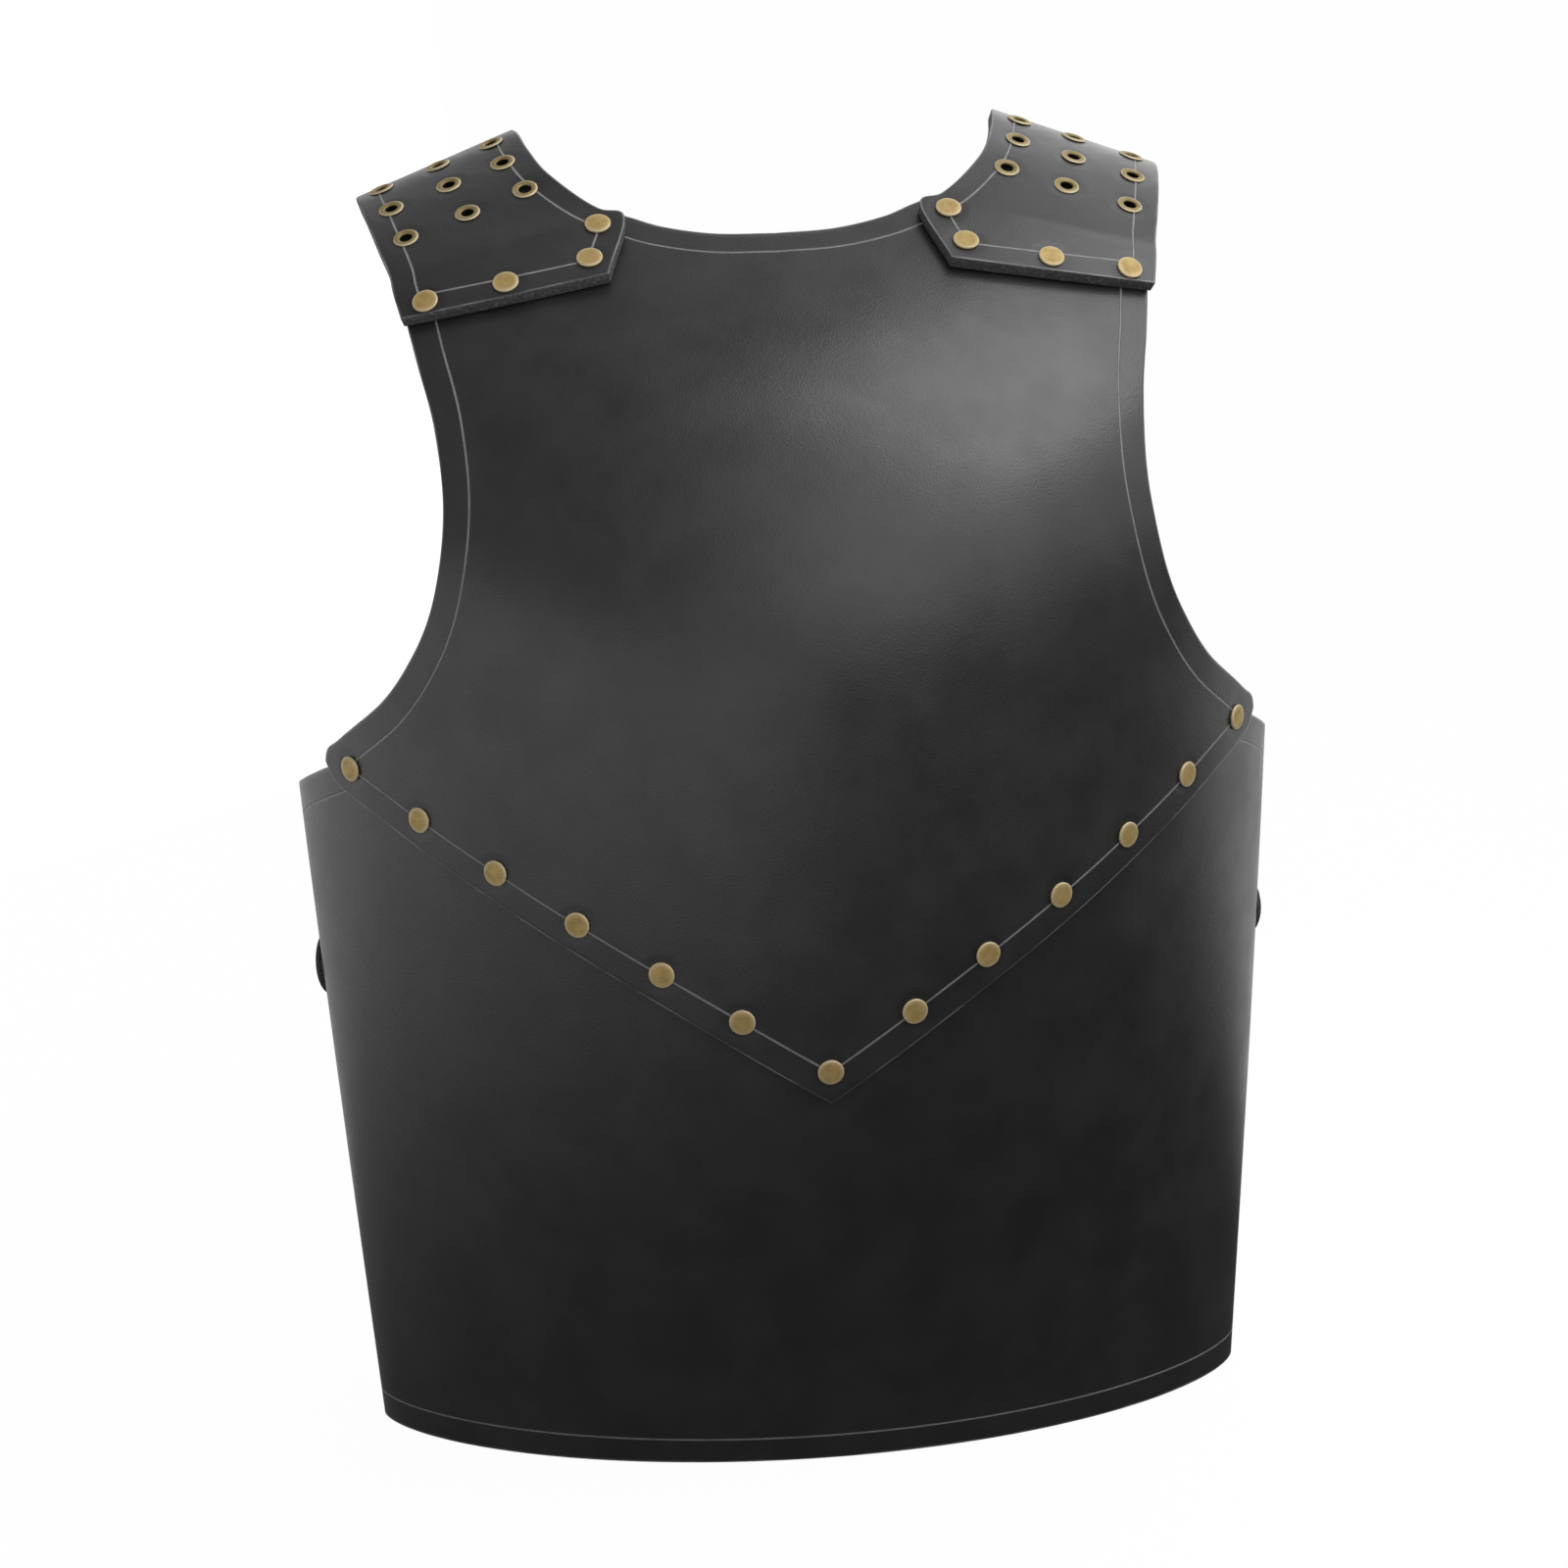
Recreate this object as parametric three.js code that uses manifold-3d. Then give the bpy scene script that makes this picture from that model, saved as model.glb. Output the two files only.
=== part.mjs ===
// Leather breastplate, front half: a chest plate riveted over a belly plate along a V shaped edge, two thick
// shoulder straps with rivets and eyelets, and four side tabs that each hold a plain buckle frame.
//
// Frame: millimetres, +Z up. The plate stands on its hem at Z = 0, faces -Y, and is alike on both sides of X = 0.
// The wearer's front is -Y, so +X is the viewer's right.
import * as THREE from 'three';
import { mergeVertices } from 'three/addons/utils/BufferGeometryUtils.js';
import Module from 'manifold-3d';

// ---------------------------------------------------------------- driving dimensions

const PLATE_THICKNESS = 3.5;
const PLATE_GAP = 1; // between the chest plate and the belly plate under it
const STRAP_THICKNESS = 5;
const STRAP_GAP = 0.6; // between a strap and the chest plate under it
const REAR_TURN = THREE.MathUtils.degToRad(118); // where the belly plate ends, round the side
const BORDER = 11; // from a cut edge to the line that its rivets follow

const EDGE_RIVET_REACHES = [31, 58.7, 87.5, 115.5, 142, 166.5]; // X of those beside the one at the tip

const RIVET = { capRadius: 4.9, capFlat: 4.2, capHeight: 1.5, shankRadius: 1.7, backRadius: 3.6, backHeight: 1 };
const EYELET = { flangeRadius: 4.9, flangeFlat: 4.1, flangeHeight: 1, barrelRadius: 3, boreRadius: 2.5, back: 1 };
const SEAT = 0.35; // clear under a rivet cap or an eyelet flange
const BACK_SEAT = 0.6; // clear over a rivet's back cap
const HOLE_CLEARANCE = 0.8;
const ROUND_SIDES = 8;
const HOLE_SIDES = 6;

const TAB = { height: 28, leather: 1.8, clear: 0.5, layerGap: 0.4, rivetBack: 13, loopRadius: 3.5 };
const TABS = { upper: { height: 187, frontTurn: 96 }, lower: { height: 89, frontTurn: 102 } };
const BUCKLE = { along: 24, height: 40, bar: 3, depth: 3 };

// Horizontal sections of the body that the plates are formed over: half width, how far the front line stands
// before the Y axis, where the widest line lies along Y, and the exponent that rounds front into side.
const SECTIONS = [
  { height: 0, halfWidth: 175, front: 64, middle: 12, roundness: 1.55 },
  { height: 150, halfWidth: 185, front: 101, middle: 14, roundness: 1.3 },
  { height: 300, halfWidth: 194, front: 111, middle: 20, roundness: 1.3 },
  { height: 370, halfWidth: 196, front: 99, middle: 24, roundness: 1.65 },
  { height: 430, halfWidth: 197, front: 56, middle: 30, roundness: 1.7 },
  { height: 500, halfWidth: 197, front: -42, middle: 42, roundness: 1.5 },
];

// Right half of the chest plate's outline: reach is X, on the surface of the body.
const V_EDGE = [
  { reach: 0, height: 161 },
  { reach: 58.7, height: 200.5 },
  { reach: 116, height: 236 },
  { reach: 152.5, height: 259 },
  { reach: 167, height: 268 },
  { reach: 173.5, height: 273 },
  { reach: 176.5, height: 280 },
];
const ARMHOLE = [
  { reach: 176.5, height: 280 },
  { reach: 175.2, height: 285.5 },
  { reach: 169.9, height: 291 },
  { reach: 154, height: 308 },
  { reach: 141.5, height: 328 },
  { reach: 132.7, height: 350 },
  { reach: 127.7, height: 380 },
  { reach: 129.5, height: 408 },
  { reach: 135, height: 430.5 },
  { reach: 137.8, height: 442 },
  { reach: 140, height: 453 },
];
const NECKLINE = [
  { reach: 0, height: 467.5 },
  { reach: 22, height: 468.2 },
  { reach: 41, height: 471.1 },
  { reach: 53, height: 474.7 },
  { reach: 59, height: 476.3 },
];
const SHOULDER_END = [
  { reach: 59, height: 476.3 },
  { reach: 140, height: 453 },
];

// Right half of the belly plate's top edge, from its peak under the chest plate round to the rear edge.
// It runs beside the rivets, shows below the armpit, and is level round the side; turn is in degrees.
const BELLY_TOP = [
  { turn: 0, height: 186 },
  { turn: 19, height: 224.5 },
  { turn: 39, height: 258.5 },
  { turn: 56, height: 286.5 },
  { turn: 61, height: 286 },
  { turn: 66, height: 278 },
  { turn: 70, height: 274.5 },
  { turn: 76, height: 270 },
  { turn: 83, height: 266 },
  { turn: 96, height: 262 },
  { turn: 118, height: 262 },
];

// Upper face of the right strap, station by station from the front end over the shoulder to the rear end.
// The first stations lie on the chest plate, so only X and Z of the body under them are given there.
const STRAP_ON_CHEST = [
  { inner: { x: 62.9, z: 453.1 }, outer: { x: 138.1, z: 440.9 } },
  { inner: { x: 55.8, z: 472.5 }, outer: { x: 141, z: 450 } },
  { inner: { x: 64, z: 474.2 }, outer: { x: 142, z: 454.5 } },
];
const STRAP_FREE = [
  { inner: [82.5, 19, 494.8], outer: [148.7, 6, 471.8] },
  { inner: [89.4, 37, 503], outer: [153, 26, 481] },
  { inner: [92.7, 54, 508.3], outer: [156, 46, 485.8] },
  { inner: [95.3, 71, 507.6], outer: [155.2, 67, 484.5] },
  { inner: [98.5, 89, 500.5], outer: [151.5, 85, 478.5] },
  { inner: [101, 104, 488], outer: [147.5, 101, 468.5] },
];
const STRAP_GRID = { along: 18, across: 6 };
const STRAP_LANES = 5;

// Rivets and eyelets of one strap: place along the strap (0 front end, 1 rear end) and across it (0 neck side).
const STRAP_RIVETS = {
  outer: { along: 0.043, across: 0.875 },
  middle: { along: 0.036, across: 0.51 },
  inner: { along: 0.04, across: 0.125 },
  neck: { along: 0.113, across: 0.119 },
};
const EYELET_ROWS = [0.358, 0.482, 0.614];
const EYELET_COLUMNS = { inner: 0.167, middle: 0.495, outer: 0.843 };

const LEATHER = new THREE.MeshStandardMaterial({ color: 0x2f2f30, roughness: 0.55, metalness: 0 });
const BRASS = new THREE.MeshStandardMaterial({ color: 0xb49a5c, roughness: 0.35, metalness: 1 });

const wasm = await Module();
wasm.setup();

// ---------------------------------------------------------------- curves and the body surface

/** Value of one column of a table at a key, smooth between its rows. */
function smooth(rows, keyName, column, key) {
  const last = rows.length - 1;
  let i = rows.findIndex((row, index) => index === last - 1 || rows[index + 1][keyName] >= key);
  i = Math.max(0, i);
  const slope = (index) => {
    const before = rows[Math.max(0, index - 1)];
    const after = rows[Math.min(last, index + 1)];
    return (after[column] - before[column]) / (after[keyName] - before[keyName]);
  };
  const width = rows[i + 1][keyName] - rows[i][keyName];
  const t = (key - rows[i][keyName]) / width;
  const rise = (3 - 2 * t) * t * t;
  const startSlope = t * (1 - t) * (1 - t) * width * slope(i);
  const endSlope = t * t * (t - 1) * width * slope(i + 1);
  return rows[i][column] * (1 - rise) + rows[i + 1][column] * rise + startSlope + endSlope;
}

const section = (column, height) => smooth(SECTIONS, 'height', column, height);

/** Point of the body's surface: turn is 0 at the front line and grows towards +X. */
function bodyPoint(turn, height) {
  const depth = section('front', height) + section('middle', height);
  const back = Math.sign(Math.cos(turn)) * Math.abs(Math.cos(turn)) ** (2 / section('roundness', height));
  const x = section('halfWidth', height) * Math.sin(turn);
  return new THREE.Vector3(x, section('middle', height) - depth * back, height);
}

/** Outward normal of a surface given as a function of two parameters. */
function surfaceNormal(surface, u, v, du, dv) {
  const across = surface(u + du, v).sub(surface(u - du, v));
  const up = surface(u, v + dv).sub(surface(u, v - dv));
  return across.cross(up).normalize();
}

const bodyNormal = (turn, height) => surfaceNormal(bodyPoint, turn, height, 0.002, 0.5);

/** Point at a distance outside the body's surface. */
function overBody(turn, height, distance) {
  return bodyPoint(turn, height).addScaledVector(bodyNormal(turn, height), distance);
}

const turnAt = (reach, height) => Math.asin(Math.min(1, reach / section('halfWidth', height)));

/** Outline table as a spline in turn and height. */
function outline(rows) {
  return new THREE.SplineCurve(rows.map((row) => {
    const turn = 'turn' in row ? THREE.MathUtils.degToRad(row.turn) : turnAt(row.reach, row.height);
    return new THREE.Vector2(turn, row.height);
  }));
}

// ---------------------------------------------------------------- solids

/** Solid shell between two grids of points, given as functions of column and row. */
function shellGeometry(columns, rows, outerPoint, innerPoint) {
  const stride = columns + 1;
  const count = stride * (rows + 1);
  const positions = [];
  for (const point of [outerPoint, innerPoint]) {
    for (let row = 0; row <= rows; row += 1) {
      for (let column = 0; column <= columns; column += 1) {
        positions.push(...point(column, row).toArray());
      }
    }
  }
  const index = [];
  const quad = (a, b, c, d) => index.push(a, b, c, a, c, d);
  for (let row = 0; row < rows; row += 1) {
    for (let column = 0; column < columns; column += 1) {
      const a = row * stride + column;
      const [b, c, d] = [a + 1, a + stride + 1, a + stride];
      if (column < columns / 2) {
        quad(a, b, c, d);
        quad(count + a, count + d, count + c, count + b);
      } else {
        quad(b, c, d, a);
        quad(count + d, count + c, count + b, count + a);
      }
    }
  }
  const ring = [];
  for (let column = 0; column < columns; column += 1) ring.push(column);
  for (let row = 0; row < rows; row += 1) ring.push(row * stride + columns);
  for (let column = columns; column > 0; column -= 1) ring.push(rows * stride + column);
  for (let row = rows; row > 0; row -= 1) ring.push(row * stride);
  ring.forEach((a, i) => {
    const b = ring[(i + 1) % ring.length];
    quad(count + a, count + b, b, a);
  });
  const geometry = new THREE.BufferGeometry();
  geometry.setAttribute('position', new THREE.Float32BufferAttribute(positions, 3));
  geometry.setIndex(index);
  return geometry;
}

/** Manifold solid of a closed geometry. */
function toManifold(geometry) {
  const bare = new THREE.BufferGeometry();
  bare.setAttribute('position', geometry.getAttribute('position').clone());
  if (geometry.index) bare.setIndex(geometry.index.clone());
  const merged = mergeVertices(bare, 1e-4);
  return new wasm.Manifold(new wasm.Mesh({
    numProp: 3,
    vertProperties: new Float32Array(merged.getAttribute('position').array),
    triVerts: new Uint32Array(merged.index.array),
  }));
}

function fromManifold(solid) {
  const mesh = solid.getMesh();
  const geometry = new THREE.BufferGeometry();
  geometry.setAttribute('position', new THREE.Float32BufferAttribute(mesh.vertProperties, 3));
  geometry.setIndex(Array.from(mesh.triVerts));
  return geometry;
}

/** Matrix that stands the Y axis along a seat's normal, at its point. */
function seatMatrix(seat) {
  const turn = new THREE.Quaternion().setFromUnitVectors(new THREE.Vector3(0, 1, 0), seat.normal);
  return new THREE.Matrix4().compose(seat.point, turn, new THREE.Vector3(1, 1, 1));
}

/** The geometry less a round hole along each seat's normal. */
function drilled(geometry, seats, radius, reach) {
  let solid = toManifold(geometry);
  for (const seat of seats) {
    const drill = new THREE.CylinderGeometry(radius, radius, 2 * reach, HOLE_SIDES);
    solid = solid.subtract(toManifold(drill.applyMatrix4(seatMatrix(seat))));
  }
  return fromManifold(solid);
}

/** Mirror image across X = 0 of a geometry, with its faces still pointing out. */
function mirrored(geometry) {
  const copy = geometry.clone().applyMatrix4(new THREE.Matrix4().makeScale(-1, 1, 1));
  const index = copy.index.array;
  for (let i = 0; i < index.length; i += 3) [index[i], index[i + 1]] = [index[i + 1], index[i]];
  return copy;
}

function mirroredSeat(seat) {
  const flip = new THREE.Vector3(-1, 1, 1);
  return { ...seat, point: seat.point.clone().multiply(flip), normal: seat.normal.clone().multiply(flip) };
}

/** Rivet in one piece: flat topped cap, shank through the leather, and back cap. grip is the leather's depth. */
function rivetGeometry(grip) {
  const backFace = -(grip + BACK_SEAT);
  const profile = [
    [0, SEAT + RIVET.capHeight],
    [RIVET.capFlat, SEAT + RIVET.capHeight],
    [RIVET.capRadius, SEAT],
    [RIVET.shankRadius, SEAT],
    [RIVET.shankRadius, backFace],
    [RIVET.backRadius, backFace],
    [0, backFace - RIVET.backHeight],
  ];
  return latheGeometry(profile.reverse());
}

/** Eyelet: a flange on the upper face and a barrel through the leather and a little past it. */
function eyeletGeometry(grip) {
  const backEnd = grip + EYELET.back;
  const profile = [
    [EYELET.boreRadius, -backEnd],
    [EYELET.barrelRadius, -backEnd],
    [EYELET.barrelRadius, SEAT],
    [EYELET.flangeRadius, SEAT],
    [EYELET.flangeFlat, SEAT + EYELET.flangeHeight],
    [EYELET.boreRadius, SEAT + EYELET.flangeHeight],
    [EYELET.boreRadius, -backEnd],
  ];
  return latheGeometry(profile);
}

function latheGeometry(profile) {
  return new THREE.LatheGeometry(profile.map(([r, y]) => new THREE.Vector2(r, y)), ROUND_SIDES);
}

// ---------------------------------------------------------------- plates

const CHEST = { columns: 22, rows: 13, neckShare: 5 / 11 };
const BELLY = { columns: 32, rows: 8 };
const chestOuter = PLATE_GAP + PLATE_THICKNESS;

/** Point of a half outline at a share of its length, with turn mirrored on the left side. */
function along(curve, share, side) {
  const point = curve.getPointAt(share);
  return new THREE.Vector2(side * point.x, point.y);
}

/** Point of the chest plate's patch, in turn and height, blended from its four edges. */
function chestPatch(u, v) {
  const edge = { v: outline(V_EDGE), arm: outline(ARMHOLE), neck: outline(NECKLINE), end: outline(SHOULDER_END) };
  const bottom = (s) => along(edge.v, Math.abs(2 * s - 1), Math.sign(2 * s - 1));
  const top = (s) => {
    const share = Math.abs(2 * s - 1);
    const side = Math.sign(2 * s - 1);
    if (share <= CHEST.neckShare) return along(edge.neck, share / CHEST.neckShare, side);
    return along(edge.end, (share - CHEST.neckShare) / (1 - CHEST.neckShare), side);
  };
  const left = along(edge.arm, v, -1);
  const right = along(edge.arm, v, 1);
  const blend = bottom(u).multiplyScalar(1 - v).addScaledVector(top(u), v);
  blend.addScaledVector(left, 1 - u).addScaledVector(right, u);
  blend.addScaledVector(bottom(0), -(1 - u) * (1 - v)).addScaledVector(bottom(1), -u * (1 - v));
  blend.addScaledVector(top(0), -(1 - u) * v).addScaledVector(top(1), -u * v);
  return blend;
}

/** Point of the belly plate's patch, in turn and height. */
function bellyPatch(u, v) {
  const turn = (2 * u - 1) * REAR_TURN;
  const topHeight = smooth(BELLY_TOP, 'turn', 'height', THREE.MathUtils.radToDeg(Math.abs(turn)));
  return new THREE.Vector2(turn, topHeight * v);
}

function plateGeometry(patch, grid, outer, onFloor) {
  const point = (distance) => (column, row) => {
    const place = patch(column / grid.columns, row / grid.rows);
    const found = overBody(place.x, place.y, distance);
    if (onFloor && row === 0) found.z = 0;
    return found;
  };
  return shellGeometry(grid.columns, grid.rows, point(outer), point(outer - PLATE_THICKNESS));
}

/** Place on the line that follows the V edge, a border's width inside it, at a reach. */
function edgeLinePlace(reach) {
  const edgeHeight = (x) => smooth(V_EDGE.slice(0, -2), 'reach', 'height', x);
  const here = bodyPoint(turnAt(reach, edgeHeight(reach)), edgeHeight(reach));
  const next = bodyPoint(turnAt(reach + 1, edgeHeight(reach + 1)), edgeHeight(reach + 1));
  const run = next.sub(here);
  const slope = Math.atan2(run.z, Math.hypot(run.x, run.y));
  const height = edgeHeight(reach) + BORDER / Math.cos(slope);
  return { turn: turnAt(reach, height), height };
}

/** Seats of the rivets on the right half of the V edge, from the tip outwards. */
function edgeSeats() {
  return [0, ...EDGE_RIVET_REACHES].map((reach) => {
    const { turn, height } = edgeLinePlace(reach);
    return { point: overBody(turn, height, chestOuter), normal: bodyNormal(turn, height) };
  });
}

// ---------------------------------------------------------------- straps

/** Control points of the strap's upper face: for each station, points from the neck side to the arm side. */
function strapStations() {
  const shares = Array.from({ length: STRAP_LANES }, (_, i) => i / (STRAP_LANES - 1));
  const lift = chestOuter + STRAP_GAP + STRAP_THICKNESS;
  const seated = STRAP_ON_CHEST.map(({ inner, outer }) => shares.map((share) => {
    const x = THREE.MathUtils.lerp(inner.x, outer.x, share);
    const height = THREE.MathUtils.lerp(inner.z, outer.z, share);
    return overBody(turnAt(x, height), height, lift);
  }));
  const free = STRAP_FREE.map(({ inner, outer }) => shares.map((share) => (
    new THREE.Vector3(...inner).lerp(new THREE.Vector3(...outer), share)
  )));
  return [...seated, ...free];
}

const stations = strapStations();
const strapLanes = Array.from({ length: STRAP_LANES }, (_, lane) => (
  new THREE.CatmullRomCurve3(stations.map((station) => station[lane]), false, 'centripetal')
));

/** Point of the strap's upper face: along is 0 at the front end, across is 0 on the neck side. */
function strapPoint(across, share) {
  const line = new THREE.CatmullRomCurve3(strapLanes.map((lane) => lane.getPoint(share)), false, 'catmullrom');
  return line.getPoint(THREE.MathUtils.clamp(across, 0, 1));
}

function strapNormal(across, share) {
  const a = THREE.MathUtils.clamp(across, 0.01, 0.99);
  const s = THREE.MathUtils.clamp(share, 0.002, 0.998);
  return surfaceNormal(strapPoint, a, s, 0.01, 0.002);
}

function strapSeat({ along: share, across }) {
  return { point: strapPoint(across, share), normal: strapNormal(across, share) };
}

function strapGeometry() {
  const { along: rows, across: columns } = STRAP_GRID;
  const point = (depth) => (column, row) => {
    const across = column / columns;
    const share = row / rows;
    return strapPoint(across, share).addScaledVector(strapNormal(across, share), -depth);
  };
  return shellGeometry(columns, rows, point(0), point(STRAP_THICKNESS));
}

// ---------------------------------------------------------------- side tabs and buckle frames

/** Turn reached after going a length round the body at a height, from a first turn. */
function turnAfter(firstTurn, height, length) {
  let turn = firstTurn;
  const step = 0.0005;
  for (let run = 0; run < length; turn += step) {
    run += bodyPoint(turn, height).distanceTo(bodyPoint(turn + step, height));
  }
  return turn;
}

/** Length round the body at a height, between two turns. */
function lengthBetween(firstTurn, lastTurn, height) {
  let run = 0;
  const steps = 100;
  for (let i = 0; i < steps; i += 1) {
    const a = THREE.MathUtils.lerp(firstTurn, lastTurn, i / steps);
    const b = THREE.MathUtils.lerp(firstTurn, lastTurn, (i + 1) / steps);
    run += bodyPoint(a, height).distanceTo(bodyPoint(b, height));
  }
  return run;
}

/** Tab at a height, from a turn: how its strip runs back over the plate, round the buckle's bar and forward again. */
function tabPlan(height, frontTurn) {
  const firstTurn = THREE.MathUtils.degToRad(frontTurn);
  const plateEnd = lengthBetween(firstTurn, REAR_TURN, height);
  const innerLayer = TAB.clear + TAB.leather / 2;
  const outerLayer = innerLayer + TAB.leather + TAB.layerGap;
  const loop = { back: plateEnd + TAB.loopRadius + TAB.leather + 3, out: (innerLayer + outerLayer) / 2 };
  const round = TAB.height / 2;
  const path = [];
  const frontSteps = 4;
  const addEnd = (out, order) => order.forEach((i) => {
    const angle = (i / frontSteps) * (Math.PI / 2);
    path.push({ back: round * (1 - Math.cos(angle)), out, half: Math.max(1.2, round * Math.sin(angle)) });
  });
  const steps = Array.from({ length: frontSteps + 1 }, (_, i) => i);
  addEnd(outerLayer, steps);
  path.push({ back: plateEnd + 1, out: outerLayer, half: round });
  for (let degrees = 120; degrees >= -120; degrees -= 40) {
    const angle = THREE.MathUtils.degToRad(degrees);
    const out = loop.out + TAB.loopRadius * Math.sin(angle);
    path.push({ back: loop.back + TAB.loopRadius * Math.cos(angle), out, half: round });
  }
  path.push({ back: plateEnd + 1, out: innerLayer, half: round });
  addEnd(innerLayer, steps.reverse());
  return { firstTurn, height, path, loop };
}

/** Point of the tab, placed by how far back, how far out and how high it is. */
function tabPoint(plan, back, out, rise) {
  const turn = turnAfter(plan.firstTurn, plan.height, back);
  return overBody(turn, plan.height + rise, out);
}

/** Strip of leather swept along the plan's path. */
function tabGeometry(plan) {
  const { path } = plan;
  const sides = path.map((place, i) => {
    const before = path[Math.max(0, i - 1)];
    const after = path[Math.min(path.length - 1, i + 1)];
    const run = new THREE.Vector2(after.back - before.back, after.out - before.out).normalize();
    return { back: -run.y, out: run.x };
  });
  const point = (sign) => (column, row) => {
    const place = path[row];
    const offset = (sign * TAB.leather) / 2;
    const rise = (column * 2 - 1) * place.half;
    return tabPoint(plan, place.back + offset * sides[row].back, place.out + offset * sides[row].out, rise);
  };
  return shellGeometry(1, path.length - 1, point(-1), point(1));
}

function tabSeat(plan) {
  const turn = turnAfter(plan.firstTurn, plan.height, TAB.rivetBack);
  const out = TAB.clear + 2 * TAB.leather + TAB.layerGap;
  return { point: overBody(turn, plan.height, out), normal: bodyNormal(turn, plan.height) };
}

/** Plain rectangular frame whose front bar lies in the tab's loop. */
function buckleGeometry(plan) {
  const { along: length, height, bar, depth } = BUCKLE;
  const frame = new THREE.Shape([
    [0, -height / 2], [length, -height / 2], [length, height / 2], [0, height / 2],
  ].map(([x, y]) => new THREE.Vector2(x - bar / 2, y)));
  frame.holes.push(new THREE.Path([
    [bar, bar - height / 2], [bar, height / 2 - bar], [length - bar, height / 2 - bar], [length - bar, bar - height / 2],
  ].map(([x, y]) => new THREE.Vector2(x - bar / 2, y))));
  const geometry = new THREE.ExtrudeGeometry(frame, { depth, bevelEnabled: false });
  geometry.translate(0, 0, -depth / 2);
  const center = tabPoint(plan, plan.loop.back, plan.loop.out, 0);
  const ahead = tabPoint(plan, plan.loop.back + 1, plan.loop.out, 0);
  const above = tabPoint(plan, plan.loop.back, plan.loop.out, 1);
  const upward = above.sub(center).normalize();
  const outward = ahead.sub(center).cross(upward).normalize();
  const backward = upward.clone().cross(outward);
  const place = new THREE.Matrix4().makeBasis(backward, upward, outward).setPosition(center);
  return geometry.applyMatrix4(place);
}

// ---------------------------------------------------------------- assembly

const breastplate = new THREE.Group();
breastplate.name = 'leather_breastplate';

function add(name, geometry, material) {
  const mesh = new THREE.Mesh(geometry, material.clone());
  mesh.name = name;
  breastplate.add(mesh);
}

/** Adds a turned piece whose axis stands along a seat's normal. */
function addTurned(name, geometry, seat) {
  const mesh = new THREE.Mesh(geometry, BRASS.clone());
  mesh.name = name;
  mesh.applyMatrix4(seatMatrix(seat));
  breastplate.add(mesh);
}

const onBothSides = (seat) => [['right', seat], ['left', mirroredSeat(seat)]];

const rivetHole = RIVET.shankRadius + HOLE_CLEARANCE;
const eyeletHole = EYELET.barrelRadius + HOLE_CLEARANCE;
const [tipSeat, ...sideSeats] = edgeSeats();
const allEdgeSeats = [tipSeat, ...sideSeats, ...sideSeats.map(mirroredSeat)];
const strapRivetSeats = Object.entries(STRAP_RIVETS).map(([name, place]) => ({ name, ...strapSeat(place) }));
const eyeletSeats = EYELET_ROWS.flatMap((row, i) => Object.entries(EYELET_COLUMNS).map(([column, across]) => (
  { name: `${column}_${i + 1}`, ...strapSeat({ along: row, across }) }
)));
const tabPlans = Object.entries(TABS).map(([name, tab]) => ({ name, ...tabPlan(tab.height, tab.frontTurn) }));
const tabSeats = tabPlans.map((plan) => ({ name: plan.name, ...tabSeat(plan) }));

const chestSeats = [...allEdgeSeats, ...strapRivetSeats, ...strapRivetSeats.map(mirroredSeat)];
const bellySeats = [...allEdgeSeats, ...tabSeats, ...tabSeats.map(mirroredSeat)];
const chest = plateGeometry(chestPatch, CHEST, chestOuter, false);
const belly = plateGeometry(bellyPatch, BELLY, 0, true);
add('chest_plate', drilled(chest, chestSeats, rivetHole, 16), LEATHER);
add('belly_plate', drilled(belly, bellySeats, rivetHole, 16), LEATHER);

let strap = drilled(strapGeometry(), strapRivetSeats, rivetHole, 9);
strap = drilled(strap, eyeletSeats, eyeletHole, 9);
add('shoulder_strap_right', strap, LEATHER);
add('shoulder_strap_left', mirrored(strap), LEATHER);

const edgeGrip = 2 * PLATE_THICKNESS + PLATE_GAP;
addTurned('edge_rivet_center', rivetGeometry(edgeGrip), tipSeat);
sideSeats.forEach((seat, i) => {
  for (const [side, place] of onBothSides(seat)) {
    addTurned(`edge_rivet_${side}_${i + 1}`, rivetGeometry(edgeGrip), place);
  }
});

const strapGrip = STRAP_THICKNESS + STRAP_GAP + PLATE_THICKNESS;
for (const seat of strapRivetSeats) {
  for (const [side, place] of onBothSides(seat)) {
    addTurned(`strap_rivet_${side}_${seat.name}`, rivetGeometry(strapGrip), place);
  }
}
for (const seat of eyeletSeats) {
  for (const [side, place] of onBothSides(seat)) {
    addTurned(`eyelet_${side}_${seat.name}`, eyeletGeometry(STRAP_THICKNESS), place);
  }
}

const tabGrip = 2 * TAB.leather + TAB.layerGap + TAB.clear + PLATE_THICKNESS;
tabPlans.forEach((plan, i) => {
  const tab = drilled(tabGeometry(plan), [tabSeats[i]], rivetHole, 9);
  const buckle = buckleGeometry(plan);
  add(`side_tab_right_${plan.name}`, tab, LEATHER);
  add(`side_tab_left_${plan.name}`, mirrored(tab), LEATHER);
  add(`buckle_frame_right_${plan.name}`, buckle, BRASS);
  add(`buckle_frame_left_${plan.name}`, mirrored(fromManifold(toManifold(buckle))), BRASS);
  for (const [side, place] of onBothSides(tabSeats[i])) {
    addTurned(`tab_rivet_${side}_${plan.name}`, rivetGeometry(tabGrip), place);
  }
});

// The origin lies under the middle of the whole.
const extent = new THREE.Box3().setFromObject(breastplate);
breastplate.position.y = -(extent.min.y + extent.max.y) / 2;

export default breastplate;
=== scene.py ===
"""Leather breastplate: fine shells, brass fasteners, finishes and studio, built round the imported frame."""
import logging
import math
from dataclasses import dataclass, field
from enum import Enum

import bmesh
import bpy
import numpy as np
from mathutils import Matrix, Vector
from mathutils.kdtree import KDTree


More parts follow.
